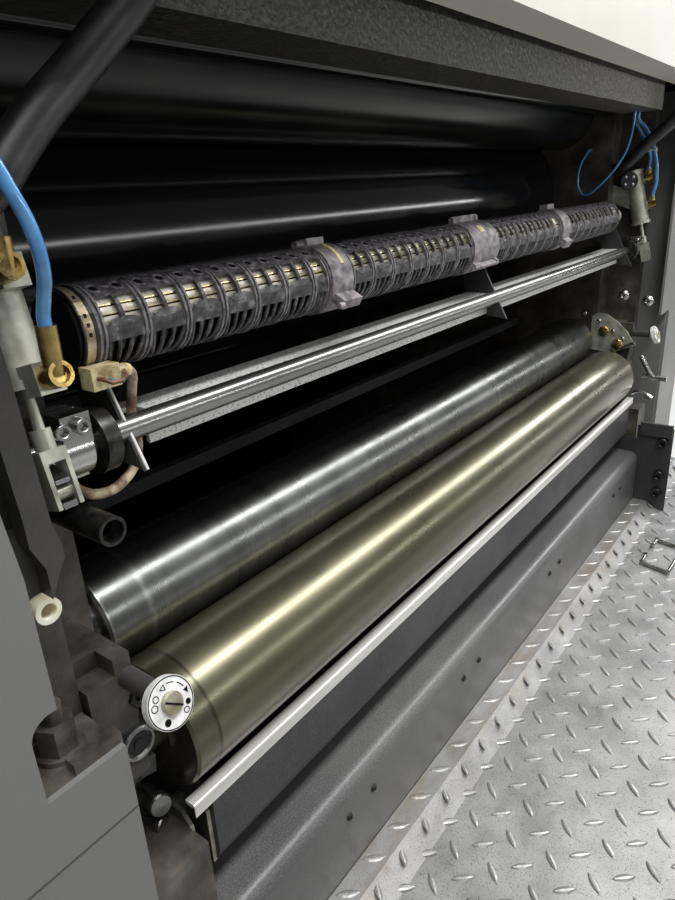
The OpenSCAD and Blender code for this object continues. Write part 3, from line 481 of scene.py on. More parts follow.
# %% Small metal and plastic parts
plain("cast_zinc", (0.42, 0.43, 0.35), 0.42, 0.6,
      stain=(60, (0.24, 0.24, 0.185), (0.5, 0.51, 0.43), 0.3, 0.65), gleam=(90, 0.3, 0.55),
      relief=[(0.25, 0.0006, 260, 3)])
plain("brass", (0.5, 0.36, 0.12), 0.3, 1.0, stain=(70, (0.26, 0.16, 0.05), (0.6, 0.46, 0.18), 0.32, 0.62),
      gleam=(120, 0.2, 0.4))
plain("ring_brass", (0.5, 0.42, 0.28), 0.36, 0.7,
      stain=(60, (0.16, 0.09, 0.05), (0.62, 0.54, 0.38), 0.34, 0.6))
plain("slat_brass", (0.56, 0.52, 0.42), 0.34, 0.55,
      stain=(70, (0.26, 0.23, 0.15), (0.72, 0.69, 0.58), 0.34, 0.6, (0.35, 1, 1)), gleam=(110, 0.2, 0.46))
# A gold finish for the painted highlights on the slats' lower edges.
plain("slat_gold_highlight", (0.8, 0.62, 0.24), 0.24, 1.0,
      stain=(90, (0.5, 0.34, 0.1), (0.92, 0.78, 0.42), 0.3, 0.6, (0.5, 1, 1)), gleam=(120, 0.18, 0.4))
plain("black_oxide", (0.02, 0.02, 0.021), 0.34, 0.7, stain=(160, (0.013, 0.013, 0.014), (0.05, 0.048, 0.045)))
# A paler copy of the sleeve plastic for the ridges of the thick rings: painted highlights on their edges.
plain("ridge_plastic_highlight", (0.12, 0.11, 0.115), 0.32,
      stain=(160, (0.045, 0.042, 0.044), (0.24, 0.225, 0.23), 0.34, 0.66), gleam=(160, 0.24, 0.45),
      relief=[(0.3, 0.0004, 420, 3)])
plain("clamp_plastic", (0.2, 0.18, 0.2), 0.45,
      stain=(120, (0.09, 0.08, 0.095), (0.36, 0.33, 0.33), 0.35, 0.68), relief=[(0.3, 0.0004, 420, 3)])
plain("hose_blue", (0.09, 0.3, 0.62), 0.18, stain=(60, (0.05, 0.2, 0.5), (0.14, 0.4, 0.74), 0.3, 0.7),
      coat_weight=0.7, coat_roughness=0.05, transmission_weight=0.25, ior=1.45)
plain("hose_black", (0.014, 0.014, 0.015), 0.42,
      stain=(45, (0.009, 0.009, 0.01), (0.045, 0.045, 0.045), 0.5, 0.85), relief=[(0.3, 0.0005, 300, 3)])
plain("cable_beige", (0.4, 0.32, 0.2), 0.5, stain=(90, (0.16, 0.09, 0.05), (0.5, 0.43, 0.28), 0.4, 0.6))
plain("cable_brown", (0.12, 0.05, 0.025), 0.4, stain=(120, (0.06, 0.025, 0.015), (0.2, 0.1, 0.06)))
plain("wire_teal", (0.1, 0.16, 0.16), 0.4, stain=(120, (0.05, 0.09, 0.09), (0.18, 0.25, 0.24)))
plain("connector_beige", (0.45, 0.37, 0.2), 0.5,
      stain=(140, (0.22, 0.16, 0.07), (0.58, 0.5, 0.29), 0.35, 0.6))
plain("cream_nylon", (0.78, 0.74, 0.58), 0.38, stain=(60, (0.66, 0.6, 0.42), (0.82, 0.79, 0.66)),
      subsurface_weight=0.15)
plain("yellow_label", (0.72, 0.6, 0.2), 0.5, stain=(200, (0.5, 0.4, 0.16), (0.8, 0.72, 0.34), 0.3, 0.6))
plain("tie_white", (0.7, 0.7, 0.68), 0.4, stain=(90, (0.55, 0.55, 0.52), (0.75, 0.75, 0.73)),
      transmission_weight=0.2)
print("small parts ready")

# %% [markdown]
# Two finishes change over one piece. Lint settles on the upper side of a sleeve, and a dial is satin
# white in front of its dark steel spindle. A ramp along one axis parts the two colours.

# %% Sleeves and dials
m = plain("sleeve_plastic", (0.03, 0.028, 0.03), 0.34, gleam=(160, 0.22, 0.5), relief=[(0.3, 0.0004, 420, 3)])
moulding = ramp(m, noise(m, 130, 6), (0.36, (0.016, 0.015, 0.016)), (0.54, (0.055, 0.052, 0.055)),
                (0.7, (0.2, 0.19, 0.19)))
lint = ramp(m, noise(m, 260, 6), (0.34, (0.04, 0.036, 0.044)), (0.56, (0.17, 0.155, 0.178)),
            (0.72, (0.36, 0.335, 0.365)))
paint(m, mix(m, along(m, "Z", (0.843, 0), (0.853, 0.85)), moulding, lint))

m = plain("dial_face", (0.72, 0.72, 0.7), 0.4, 0.1)
white = ramp(m, noise(m, 220, 5), (0.3, (0.56, 0.56, 0.53)), (0.6, (0.78, 0.78, 0.76)))
spindle = along(m, "Y", (-0.24, 0), (-0.2035, 0), (-0.203, 1), (-0.17, 1))
paint(m, mix(m, spindle, white, (0.045, 0.044, 0.042)))


print(len(FINISHES), "finishes")

# %% [markdown]
# Every CAD solid now gets the finish of the real piece. The table is read from the finish to its
# pieces, so that a change of paint is made in one place.

# %% Finish of each solid
WEARS = {
    "grey_enamel": ["left_housing", "right_housing", "right_front_cover"],
    "rear_enamel_and_shade": ["rear_panel"],
    "cover_enamel": ["left_front_cover"],
    "pale_enamel": ["upper_housing"],
    "dark_casting": ["base_plinth", "hook_bar", "lower_crossbeam"],
    "greasy_casting": ["left_side_frame", "right_side_frame", "roller_carriers"],
    "milled_plate": ["notch_bracket"],
    "edged_casting": ["pan_end_plates"],
    "black_oxide": ["pivot_bearings", "handle_tube"],
    "hammered_paint": ["upper_crossbeam"],
    "dark_enamel": ["lower_guard_bar", "water_pan", "footboard_supports", "swing_brackets",
                    "right_mounting_plate"],
    "sill_enamel": ["sill_cover"],
    "steel_tube": ["pivot_tube"],
    "dusty_painted_light_steel": ["angle_bar"],
    "dial_face": ["adjusting_dials"],
    "black_gloss": ["plate_cylinder", "guard_tube", "core_end_disc"],
    "black_rubber": ["form_roller"],
    "dark_chrome": ["metering_roller"],
    "olive_chrome": ["pan_roller"],
    "bright_steel": ["left_lever", "right_lever", "plate_clamps", "lifting_handle"],
    "aluminium": ["pan_lip"],
    "tread_plate": ["footboard"],
    "cast_zinc": ["left_air_cylinder", "right_air_cylinder", "left_rod", "right_rod", "bearing_plate"],
    "brass": ["air_fittings"],
    "ring_brass": ["core_end_ring"],
    "slat_brass": ["slatted_core"],
    "sleeve_plastic": ["left_outer_sleeve", "left_inner_sleeve", "right_inner_sleeve", "right_outer_sleeve"],
    "clamp_plastic": ["sleeve_clamps"],
    "cream_nylon": ["cover_bush"],
    "connector_beige": ["connector_block"],
    "hose_blue": ["left_air_hose", "right_air_hose_front", "right_air_hose_back", "thin_air_hose"],
    "hose_black": ["left_black_hose", "right_black_hose"],
    "cable_beige": ["sensor_cable"],
}


def wear(piece, label):
    piece.data.materials.clear()
    piece.data.materials.append(FINISHES[label])


for label, names in WEARS.items():
    for name in names:
        wear(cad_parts[name], label)
        if name in cords:
            wear(cords[name], label)
bare = [n for n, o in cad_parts.items() if o.data.materials[0].name not in FINISHES]
print("solids without a finish:", bare)

# %% [markdown]
# Small things repeat by the dozen: tread lozenges, screws and ribs. One Geometry Nodes tree sets a
# shape on every point of a cloud, turned and sized by two attributes that the points carry. Its inputs
# are named, and it ends in Realize Instances and Set Material, because an export drops instances.

# %% How every tree starts and ends
def new_tree(name, **inputs):
    """An empty tree with named inputs, the identifiers of its inputs, and its first node."""
    tree = bpy.data.node_groups.new(name, "GeometryNodeTree")
    sockets = {}
    for label, kind in {**inputs, "Finish": "Material"}.items():
        sockets[label] = tree.interface.new_socket(label, in_out="INPUT",
                                                   socket_type="NodeSocket" + kind).identifier
    tree.interface.new_socket("Geometry", in_out="OUTPUT", socket_type="NodeSocketGeometry")
    return tree, sockets, tree.nodes.new("NodeGroupInput")


def end_tree(tree, inside, geometry):
    """Realize Instances and Set Material, because an export drops instances."""
    real = tree.nodes.new("GeometryNodeRealizeInstances")
    coat = tree.nodes.new("GeometryNodeSetMaterial")
    outside = tree.nodes.new("NodeGroupOutput")
    tree.links.new(geometry, real.inputs["Geometry"])
    tree.links.new(real.outputs["Geometry"], coat.inputs["Geometry"])
    tree.links.new(inside.outputs["Finish"], coat.inputs["Material"])
    tree.links.new(coat.outputs["Geometry"], outside.inputs["Geometry"])


def settle(name, body, mesh):
    """A finished mesh as a piece that rides on a body."""
    piece = bpy.data.objects.new(name, mesh)
    put(piece)
    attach(piece, body)
    print(name, len(mesh.polygons), "faces")
    return piece


def grown(name, body, start, tree, sockets, values, label):
    """The piece that a tree grows from a start mesh."""
    host = bpy.data.objects.new(name + "_start", start)
    put(host)
    modifier = host.modifiers.new("tree", "NODES")
    modifier.node_group = tree
    for key, value in {**values, "Finish": FINISHES[label]}.items():
        modifier[sockets[key]] = value
    mesh = bpy.data.meshes.new_from_object(host.evaluated_get(bpy.context.evaluated_depsgraph_get()))
    host.modifiers.remove(modifier)
    bpy.data.objects.remove(host)
    return settle(name, body, mesh)


# %% The tree that sets a shape on points
def point_attribute(tree, name):
    node = tree.nodes.new("GeometryNodeInputNamedAttribute")
    node.data_type = "FLOAT_VECTOR"
    node.inputs["Name"].default_value = name
    return node.outputs["Attribute"]


def scatter_tree():
    tree, sockets, inside = new_tree("shape_on_points", Points="Geometry", Shape="Object", Size="Float")
    links = tree.links
    shape = tree.nodes.new("GeometryNodeObjectInfo")
    size = tree.nodes.new("ShaderNodeVectorMath")
    size.operation = "SCALE"
    spread = tree.nodes.new("GeometryNodeInstanceOnPoints")
    links.new(inside.outputs["Shape"], shape.inputs["Object"])
    links.new(inside.outputs["Points"], spread.inputs["Points"])
    links.new(shape.outputs["Geometry"], spread.inputs["Instance"])
    links.new(point_attribute(tree, "turn"), spread.inputs["Rotation"])
    links.new(point_attribute(tree, "grow"), size.inputs[0])
    links.new(inside.outputs["Size"], size.inputs["Scale"])
    links.new(size.outputs["Vector"], spread.inputs["Scale"])
    end_tree(tree, inside, spread.outputs["Instances"])
    return tree, sockets


SCATTER, SCATTER_INPUTS = scatter_tree()
print("inputs:", ", ".join(SCATTER_INPUTS))


# %% Use the tree
def scatter(name, body, shape, label, places):
    """One mesh of a shape set at (point, turn, grow) places, in millimetres and degrees."""
    cloud = bpy.data.meshes.new(name)
    cloud.from_pydata([Vector(p) * MM for p, _, _ in places], [], [])
    turns = cloud.attributes.new("turn", "FLOAT_VECTOR", "POINT")
    grows = cloud.attributes.new("grow", "FLOAT_VECTOR", "POINT")
    for i, (_, turn, grow) in enumerate(places):
        turns.data[i].vector = [math.radians(a) for a in turn]
        grows.data[i].vector = grow
    return grown(name, body, cloud, SCATTER, SCATTER_INPUTS, {"Shape": SHAPES[shape], "Size": 1.0}, label)


# %% Shapes that repeat
def shape_from(name, build):
    """A hidden object whose mesh a builder draws in millimetres."""
    shape = bmesh.new()
    build(shape)
    bmesh.ops.remove_doubles(shape, verts=shape.verts, dist=1e-4)
    bmesh.ops.recalc_face_normals(shape, faces=shape.faces)
    bmesh.ops.scale(shape, vec=(MM, MM, MM), verts=shape.verts)
    mesh = bpy.data.meshes.new(name)
    shape.to_mesh(mesh)
    shape.free()
    return bpy.data.objects.new(name, mesh)


def turned(shape, profile, sides=24, angle=0.0):
    """A closed solid of revolution about Z from (radius, height) points, lowest first."""
    rings = []
    for radius, height in profile:
        if radius == 0:
            rings.append([shape.verts.new((0, 0, height))])
            continue
        steps = [angle + 2 * math.pi * k / sides for k in range(sides)]
        rings.append([shape.verts.new((radius * math.cos(a), radius * math.sin(a), height)) for a in steps])
    for low, high in zip(rings, rings[1:]):
        for k in range(sides):
            n = (k + 1) % sides
            corners = [low[k % len(low)], low[n % len(low)], high[n % len(high)], high[k % len(high)]]
            shape.faces.new(list(dict.fromkeys(corners)))


def lozenge(shape):
    """A tread lozenge: a pointed hump, 23 long, 8 wide and 1.9 high."""
    stations = [(-11.6, 0.3), (-9, 2), (-5, 3.5), (0, 4.1), (5, 3.5), (9, 2), (11.6, 0.3)]
    rows = []
    for x, w in stations:
        h = 1.9 * min(1.0, w / 2.6)
        row = [(x, -w, -0.2), (x, -w * 0.5, h * 0.8), (x, 0, h), (x, w * 0.5, h * 0.8), (x, w, -0.2)]
        rows.append([shape.verts.new(p) for p in row])
    for a, b in zip(rows, rows[1:]):
        for k in range(4):
            shape.faces.new((a[k], b[k], b[k + 1], a[k + 1]))
        shape.faces.new((a[4], b[4], b[0], a[0]))
    shape.faces.new(rows[0])
    shape.faces.new(rows[-1][::-1])


def socket_screw(shape):
    """A cap screw's head, 10 wide, with its socket."""
    turned(shape, [(0, 0), (5, 0), (5, 4.4), (4.5, 5), (2.9, 5), (2.5, 4.6), (2.5, 1.8), (0, 1.6)])


def button_screw(shape):
    """A low round head, 10 wide, with a small socket."""
    turned(shape, [(0, 0), (5, 0), (4.9, 0.9), (4.2, 2), (3, 2.7), (1.9, 3), (1.6, 2.8), (1.6, 1.2),
                   (0, 1.1)])


def dome_pin(shape):
    turned(shape, [(0, 0), (5, 0), (5, 2.2), (4.4, 3), (2.4, 3.5), (0, 3.7)])


SHAPES = {}


def keep_shapes(*makers):
    for make in makers:
        SHAPES[make.__name__] = shape_from(make.__name__, make)
    print("shapes:", ", ".join(SHAPES))


keep_shapes(lozenge, socket_screw, button_screw, dome_pin)

# %% [markdown]
# Tread plate has its lozenges in rows, each row turned the other way and moved on by half a pitch.
# The first three rows ride over the bend beside the sill, so they are placed one by one.

# %% Lozenges on the footboard
BOARD_TOP, BOARD_MAIN = 300, 286
PITCH_X, PITCH_Y = 42.8, 20.4
HALF_BOARD, FRONT_EDGE, FIRST_ROW = 800, -690, -275.5
SIDE_GAP, FRONT_GAP = 12, 10
# Each row has its distance, height, shift along X, turn, tilt and flatness.
BEND_ROWS = ((-222, BOARD_TOP, 4, -48, 0, 0.55), (-241, 296, 25, 47, 31, 0.9),
             (-255.5, 287.2, 2, -48, 20, 0.9))
FLAT_ROWS = ((22, 47), (0.6, -48))


def row_of(y, z, shift, turn, tilt, height):
    count = int(HALF_BOARD / PITCH_X)
    xs = [shift + i * PITCH_X for i in range(-count, count + 1)]
    return [((x, y, z), (tilt, 0, turn), (1, 1, height)) for x in xs if abs(x) < HALF_BOARD - SIDE_GAP]


def tread_places():
    places = [place for row in BEND_ROWS for place in row_of(*row)]
    y, k = FIRST_ROW, 0
    while y > FRONT_EDGE + FRONT_GAP:
        shift, turn = FLAT_ROWS[k % 2]
        places += row_of(y, BOARD_MAIN, shift, turn, 0, 1)
        y -= PITCH_Y
        k += 1
    return places


scatter("tread_lozenges", "frame", "lozenge", "tread_plate", tread_places())

# %% [markdown]
# Ribs, thin wires and small levers are all round bars that follow a line. A second tree turns a mesh of
# loose edges into curves and sweeps a circle along them, with its radius and its number of sides as
# named inputs. A few sides are enough, because there are hundreds of ribs and each is 3 mm thick.

# %% The tree that sweeps a bar along lines
def sweep_tree():
    tree, sockets, inside = new_tree("bar_along_lines", Lines="Geometry", Radius="Float", Sides="Int")
    links = tree.links
    curve = tree.nodes.new("GeometryNodeMeshToCurve")
    circle = tree.nodes.new("GeometryNodeCurvePrimitiveCircle")
    bar = tree.nodes.new("GeometryNodeCurveToMesh")
    bar.inputs["Fill Caps"].default_value = True
    links.new(inside.outputs["Lines"], curve.inputs["Mesh"])
    links.new(inside.outputs["Radius"], circle.inputs["Radius"])
    links.new(inside.outputs["Sides"], circle.inputs["Resolution"])
    links.new(curve.outputs["Curve"], bar.inputs["Curve"])
    links.new(circle.outputs["Curve"], bar.inputs["Profile Curve"])
    end_tree(tree, inside, bar.outputs["Mesh"])
    return tree, sockets


SWEEP, SWEEP_INPUTS = sweep_tree()


def sweep(name, body, lines, radius, label, sides=8):
    """One mesh of round bars along lines of points, in millimetres, riding on a body."""
    points, edges = [], []
    for line in lines:
        start = len(points)
        points += [Vector(p) * MM for p in line]
        edges += [(start + k, start + k + 1) for k in range(len(line) - 1)]
    mesh = bpy.data.meshes.new(name)
    mesh.from_pydata(points, edges, [])
    return grown(name, body, mesh, SWEEP, SWEEP_INPUTS, {"Radius": radius * MM, "Sides": sides}, label)


print("inputs:", ", ".join(SWEEP_INPUTS))

# %% [markdown]
# The lattice sleeves are the piece that takes the most skill. Each is a moulding of grooved thick rings,
# thin ribs across the window, a smooth band below it and a dusty rail with eyelets above. Between two
# thick rings, four ribs lean together under the band like a fan. All of it is drawn on the core's
# cylinder by distance along it and angle round it, from the top towards the front.

# %% A piece drawn face by face
def drawn(name, body, shape, label):
    """Close a shape drawn in metres, with its faces outward, and settle it on a body."""
    bmesh.ops.recalc_face_normals(shape, faces=shape.faces)
    mesh = bpy.data.meshes.new(name)
    shape.to_mesh(mesh)
    shape.free()
    mesh.materials.append(FINISHES[label])
    return settle(name, body, mesh)


# %% A part of a tube wall, drawn by angles
CORE_Y, CORE_Z, CORE_R, SLEEVE_R = -130, 829, 22.5, 26.5
SLEEVES = ((-532, -316, 16.0), (-288, -65, 15.5), (-5, 202, 14.5), (230, 466, 15.5))
RAIL, WINDOW, BAND, FAN = (-14, 42), (42, 81), (81, 103), (100, 178)
THICK_RING, THIN_RIB = 5, 2.6
STEP = 9


def on_core(x, angle, radius):
    a = math.radians(angle)
    return Vector((x, CORE_Y - radius * math.sin(a), CORE_Z + radius * math.cos(a)))


def wall(name, spans, inner, outer, label):
    """Pieces of tube wall on the swing frame, each (x0, x1, from, to) in millimetres and degrees."""
    shape = bmesh.new()
    for x0, x1, a0, a1 in spans:
        whole = a1 - a0 == 360
        steps = max(2, round((a1 - a0) / STEP))
        rows = []
        for k in range(steps if whole else steps + 1):
            a = a0 + (a1 - a0) * k / steps
            corners = ((x0, inner), (x0, outer), (x1, outer), (x1, inner))
            rows.append([shape.verts.new(on_core(x, a, r) * MM) for x, r in corners])
        pairs = list(zip(rows, rows[1:])) + ([(rows[-1], rows[0])] if whole else [])
        for low, high in pairs:
            for k in range(4):
                n = (k + 1) % 4
                shape.faces.new((low[k], low[n], high[n], high[k]))
        if not whole:
            shape.faces.new(rows[0][::-1])
            shape.faces.new(rows[-1])
    return drawn(name, "swing_frame", shape, label)


# %% [markdown]
# Under the lattice lie pale brass slats with dark gaps between them; a black sheet under them paints the
# shade in the gaps. Only their upper front shows through the windows, in three rows, and a thin gold strip
# along each row's lower edge is a painted highlight. Behind the fans the core is in deep shade, so a black
# sheet of painted shade covers it there.

# %% Slats behind the windows
ROWS = ((40, 53), (55.5, 67), (69.5, 83))
CORE_LEFT, CORE_RIGHT, EDGE = -532, 466, 1.6
# A black sheet under the slats: painted shade in the gaps between the rows.
wall("slat_shade", [(CORE_LEFT, CORE_RIGHT, 30, 86)], CORE_R - 0.3, CORE_R + 0.2, "black_rubber")
wall("slat_faces", [(CORE_LEFT, CORE_RIGHT, a0, a1) for a0, a1 in ROWS], CORE_R, CORE_R + 0.8, "slat_brass")
# Thin gold strips on the rows' lower edges: painted highlights.
wall("slat_edges", [(CORE_LEFT, CORE_RIGHT, a1 - EDGE, a1) for _, a1 in ROWS], CORE_R, CORE_R + 1.0,
     "slat_gold_highlight")
# A black sheet of painted shade on the core behind the fans.
wall("sleeve_liner", [(x0 + 3, x1 - 3, 86, 196) for x0, x1, _ in SLEEVES], CORE_R + 0.1, CORE_R + 0.5,
     "black_rubber")


# %% Rings, ribs, band and rails of the sleeves
def rings_of(x0, x1, pitch):
    """Left edges of the thick rings and of the thin ribs of one sleeve."""
    count = int((x1 - x0 - THICK_RING) // pitch)
    thick = [x0 + i * pitch for i in range(0, count, 2)] + [x1 - THICK_RING]
    thin = [x0 + i * pitch + 1.2 for i in range(1, count, 2) if x0 + i * pitch < x1 - 2 * THICK_RING]
    return thick, thin


THICK, THIN = [], []
for span in SLEEVES:
    thick, thin = rings_of(*span)
    THICK.append(thick)
    THIN += thin
every_thick = [x for thick in THICK for x in thick]
LATTICE_IN = CORE_R + 1.1
RIDGE = 1.6
RIB_PARTS = ((WINDOW[0] - 1, WINDOW[1] + 1), (200, 268), (292, 346))
BACK_BARS = ((176, 200), (268, 292))
# The back bars begin inside the left bracket plate.
BRACKET_IN = -520.5
ridges = [(x + d, x + d + RIDGE, 0, 360) for x in every_thick for d in (0, THICK_RING - RIDGE)]
grooves = [(x + RIDGE, x + THICK_RING - RIDGE, 0, 360) for x in every_thick]
ribs = [(x, x + THIN_RIB, *part) for x in THIN for part in RIB_PARTS]
rails = [(x0, x1, *part) for x0, x1, _ in SLEEVES for part in (RAIL, BAND)]
rails += [(max(x0, BRACKET_IN), x1, *part) for x0, x1, _ in SLEEVES for part in BACK_BARS]
sleeve_names = ("left_outer_sleeve", "left_inner_sleeve", "right_inner_sleeve", "right_outer_sleeve")
# The ridges are lighter than the grooves: painted highlights on the edges of the thick rings.
lattice = wall("sleeve_ridges", ridges, LATTICE_IN, SLEEVE_R, "ridge_plastic_highlight")
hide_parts(*sleeve_names)
wall("sleeve_grooves", grooves, LATTICE_IN, SLEEVE_R - 0.9, "sleeve_plastic")
wall("sleeve_thin_ribs", ribs, LATTICE_IN, SLEEVE_R - 0.3, "sleeve_plastic")
wall("sleeve_rails", rails, LATTICE_IN, SLEEVE_R - 0.6, "sleeve_plastic")


# %% Fan ribs under the band
FAN_RIBS = ((0.08, 0.42), (0.34, 0.5), (0.64, 0.56), (0.93, 0.62))
FAN_BEND, FAN_STEPS = 1.6, 6


def fan_lines(radius):
    """Ribs of every bay, each from the band towards the bottom of its bay."""
    lines = []
    for rings in THICK:
        for left, right in zip(rings, rings[1:]):
            low, wide = left + THICK_RING - 1, right - left - THICK_RING + 2
            for start, end in FAN_RIBS:
                line = []
                for k in range(FAN_STEPS + 1):
                    f = k / FAN_STEPS
                    x = low + wide * (start + (end - start) * f ** FAN_BEND)
                    line.append(on_core(x, FAN[0] + (FAN[1] - FAN[0]) * f, radius))
                lines.append(line)
    return lines


sweep("sleeve_fan_ribs", "swing_frame", fan_lines(SLEEVE_R - 1.7), 1.5, "sleeve_plastic", 6)


# %% [markdown]
# Each bay of the rail has an eyelet, a low ring round a black disc that paints the shade in its hole. Where a
# window ends, the band bulges up in a shallow scallop. Both are small shapes set on points by the first tree.

# %% Eyelets, scallops and marks on the clamps
def eyelet(shape):
    """A low ring, 9 wide, round a dished hole."""
    turned(shape, [(0, -1), (4.4, -1), (4.6, 0.5), (4, 1.1), (3, 1.0), (2.6, 0.4), (2.4, 0.1), (0, 0.05)], 16)


def eyelet_hole(shape):
    turned(shape, [(0, 0), (2.5, 0), (2.3, 0.25), (0, 0.25)], 12)


def scallop(shape):
    """A low lens, 12 long and 12 wide before it is stretched."""
    turned(shape, [(0, -0.4), (6, -0.4), (5, 0.1), (0, 0.25)], 16)


keep_shapes(eyelet, eyelet_hole, scallop)

EYELET_AT, SCALLOP_AT = 26, 80
eyelets, holes, scallops = [], [], []
for x0, x1, pitch in SLEEVES:
    for i in range(int((x1 - x0 - THICK_RING) // pitch)):
        middle = x0 + (i + 0.5) * pitch + 2
        eyelets.append((on_core(middle, EYELET_AT, SLEEVE_R - 0.7), (EYELET_AT, 0, 0), (1.1, 1.05, 0.8)))
        holes.append((on_core(middle, EYELET_AT, SLEEVE_R - 0.6), (EYELET_AT, 0, 0), (1.1, 1.05, 1)))
for rings in THICK:
    for left, right in zip(rings, rings[1:]):
        middle, wide = (left + THICK_RING + right) / 2, (right - left - 9) / 12
        scallops.append((on_core(middle, SCALLOP_AT, SLEEVE_R - 0.55), (SCALLOP_AT, 0, 0), (wide, 0.5, 1)))
scatter("sleeve_eyelets", "swing_frame", "eyelet", "sleeve_plastic", eyelets)
# The black discs paint the shade inside the eyelet holes.
scatter("sleeve_eyelet_holes", "swing_frame", "eyelet_hole", "black_rubber", holes)
scatter("sleeve_scallops", "swing_frame", "scallop", "sleeve_plastic", scallops)
wall("clamp_strip", [(-301, -297, 14, 62)], 28, 28.6, "yellow_label")
wall("clamp_patch", [(-41, -30, 34, 52)], 28, 28.5, "yellow_label")
end_ring = wall("end_ring", [(-541, -533.5, 0, 360)], CORE_R, 26, "ring_brass")
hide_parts("core_end_ring")
wall("end_ring_edges", [(-541.8, -540.6, 0, 360), (-534.4, -532, 0, 360)], 25.5, 26.5, "black_oxide")
# Black patches on the ring paint the shade in its notches.
wall("end_ring_notches", [(-538.4, -536.6, a, a + 5) for a in (34, 62, 74, 86)], 25.8, 26.3, "black_rubber")

# %% [markdown]
# Screws come next. Cap screws hold the mounting plate and the split clamps, button heads hold the sill, and
# button heads and pins sit in the frames. Each list gives a point, a turn that aims the head, and a size.

# %% Screws
TO_LEFT, TO_FRONT = (0, -90, 0), (90, 0, 0)


def heads(points, turn, size):
    return [(p, turn, (size, size, size)) for p in points]


scatter("sill_screws", "frame", "button_screw", "black_oxide",
        heads([(x, -210, 364) for x in (-400, -361, -176, -137, 92, 131, 398, 437)], TO_FRONT, 0.8))
scatter("mounting_plate_screws", "frame", "socket_screw", "black_oxide",
        heads([(544, -252, 425), (544, -252, 359), (544, -252, 323)], TO_LEFT, 1.9))
scatter("frame_screws", "frame", "button_screw", "bright_steel",
        heads([(548, -154, 691), (548, -196, 683)], TO_LEFT, 1.9))
scatter("fan_plate_screws", "frame", "button_screw", "bright_steel",
        heads([(544, -88, 655), (544, -115, 642), (544, -142, 625), (544, -160, 612)], TO_LEFT, 0.9))
scatter("fan_plate_bolts", "frame", "dome_pin", "brass",
        heads([(545, -126, 624), (545, -152, 602)], TO_LEFT, 1.9))
scatter("split_clamp_screws", "swing_frame", "socket_screw", "bright_steel",
        heads([(s * x, -166, 785) for s in (-1, 1) for x in (573, 561)], TO_FRONT, 0.95))

# %% [markdown]
# The adjusting dials are printed plates: a thin rim, a broken arc between an outlined and a solid
# arrowhead for more and less water, and a few round marks. They are drawn as thin raised ink on the
# dial's own plane, which is tilted up to the operator, and one mesh holds all the ink of a dial.

# %% Ink on the dials
DIAL_SPOT, DIAL_TILT, DIAL_TURN, DIAL_X = (-214, 621), 68, -30, 566
INK = 0.25


def sector(r0, r1, a0, a1, steps=16):
    """Corners of a flat ring sector, angles from local X towards local Y."""
    arc = [math.radians(a0 + (a1 - a0) * k / steps) for k in range(steps + 1)]
    outer = [(r1 * math.cos(a), r1 * math.sin(a)) for a in arc]
    return outer + [(r0 * math.cos(a), r0 * math.sin(a)) for a in reversed(arc)]


def ring_of(x, y, r0, r1):
    return [[(x + px, y + py) for px, py in sector(r0, r1, a, a + 180, 10)] for a in (0, 180)]


def arrow(r, a, size, way):
    """A triangle on a circle of radius r that points on round it."""
    t = math.radians(a)
    out, on = (math.cos(t), math.sin(t)), (-math.sin(t) * way, math.cos(t) * way)
    return [(r * out[0] + u * out[0] + v * on[0], r * out[1] + u * out[1] + v * on[1])
            for u, v in ((-size, 0), (size, 0), (0, 2 * size))]


def outline(corners, width):
    """Thin bars along the sides of a triangle."""
    bars = []
    for (x0, y0), (x1, y1) in zip(corners, corners[1:] + corners[:1]):
        length = math.hypot(x1 - x0, y1 - y0)
        u, v = (y1 - y0) / length * width / 2, (x0 - x1) / length * width / 2
        bars.append([(x0 - u, y0 - v), (x1 - u, y1 - v), (x1 + u, y1 + v), (x0 + u, y0 + v)])
    return bars


RIM, ARC = (15, 15.6), (11.6, 12.1)
# Each round mark has its place and its two radii.
MARKS = ((-10.6, 2.2, 1.6, 2.1), (-10.8, -3, 1.8, 2.3), (11.8, 0.4, 0.01, 1.8), (11.2, -4.4, 1.5, 2.0),
         (-1.2, -11.2, 0.01, 2.2))


def dial_ink():
    flats = [sector(*RIM, a, a + 180) for a in (0, 180)]
    flats += [sector(*ARC, 50, 76), sector(*ARC, 88, 112), arrow(12, 42, 1.7, -1)]
    flats += outline(arrow(10.5, 122, 1.7, 1), 0.45)
    for mark in MARKS:
        flats += ring_of(*mark)
    return flats


def flat_piece(name, body, flats, matrix, label, thick=INK):
    """Thin raised shapes on a plane that a matrix places, in millimetres."""
    shape = bmesh.new()
    for corners in flats:
        low = [shape.verts.new(matrix @ Vector((x, y, -0.05)) * MM) for x, y in corners]
        high = [shape.verts.new(matrix @ Vector((x, y, thick)) * MM) for x, y in corners]
        shape.faces.new(low[::-1])
        shape.faces.new(high)
        for k in range(len(corners)):
            n = (k + 1) % len(corners)
            shape.faces.new((low[k], low[n], high[n], high[k]))
    bmesh.ops.recalc_face_normals(shape, faces=shape.faces)
    bmesh.ops.triangulate(shape, faces=[f for f in shape.faces if len(f.verts) > 4])
    return drawn(name, body, shape, label)


def dial_plane(x):
    tilt = Matrix.Translation((x, *DIAL_SPOT)) @ Matrix.Rotation(math.radians(DIAL_TILT), 4, "X")
    return tilt @ Matrix.Rotation(math.radians(DIAL_TURN), 4, "Z")


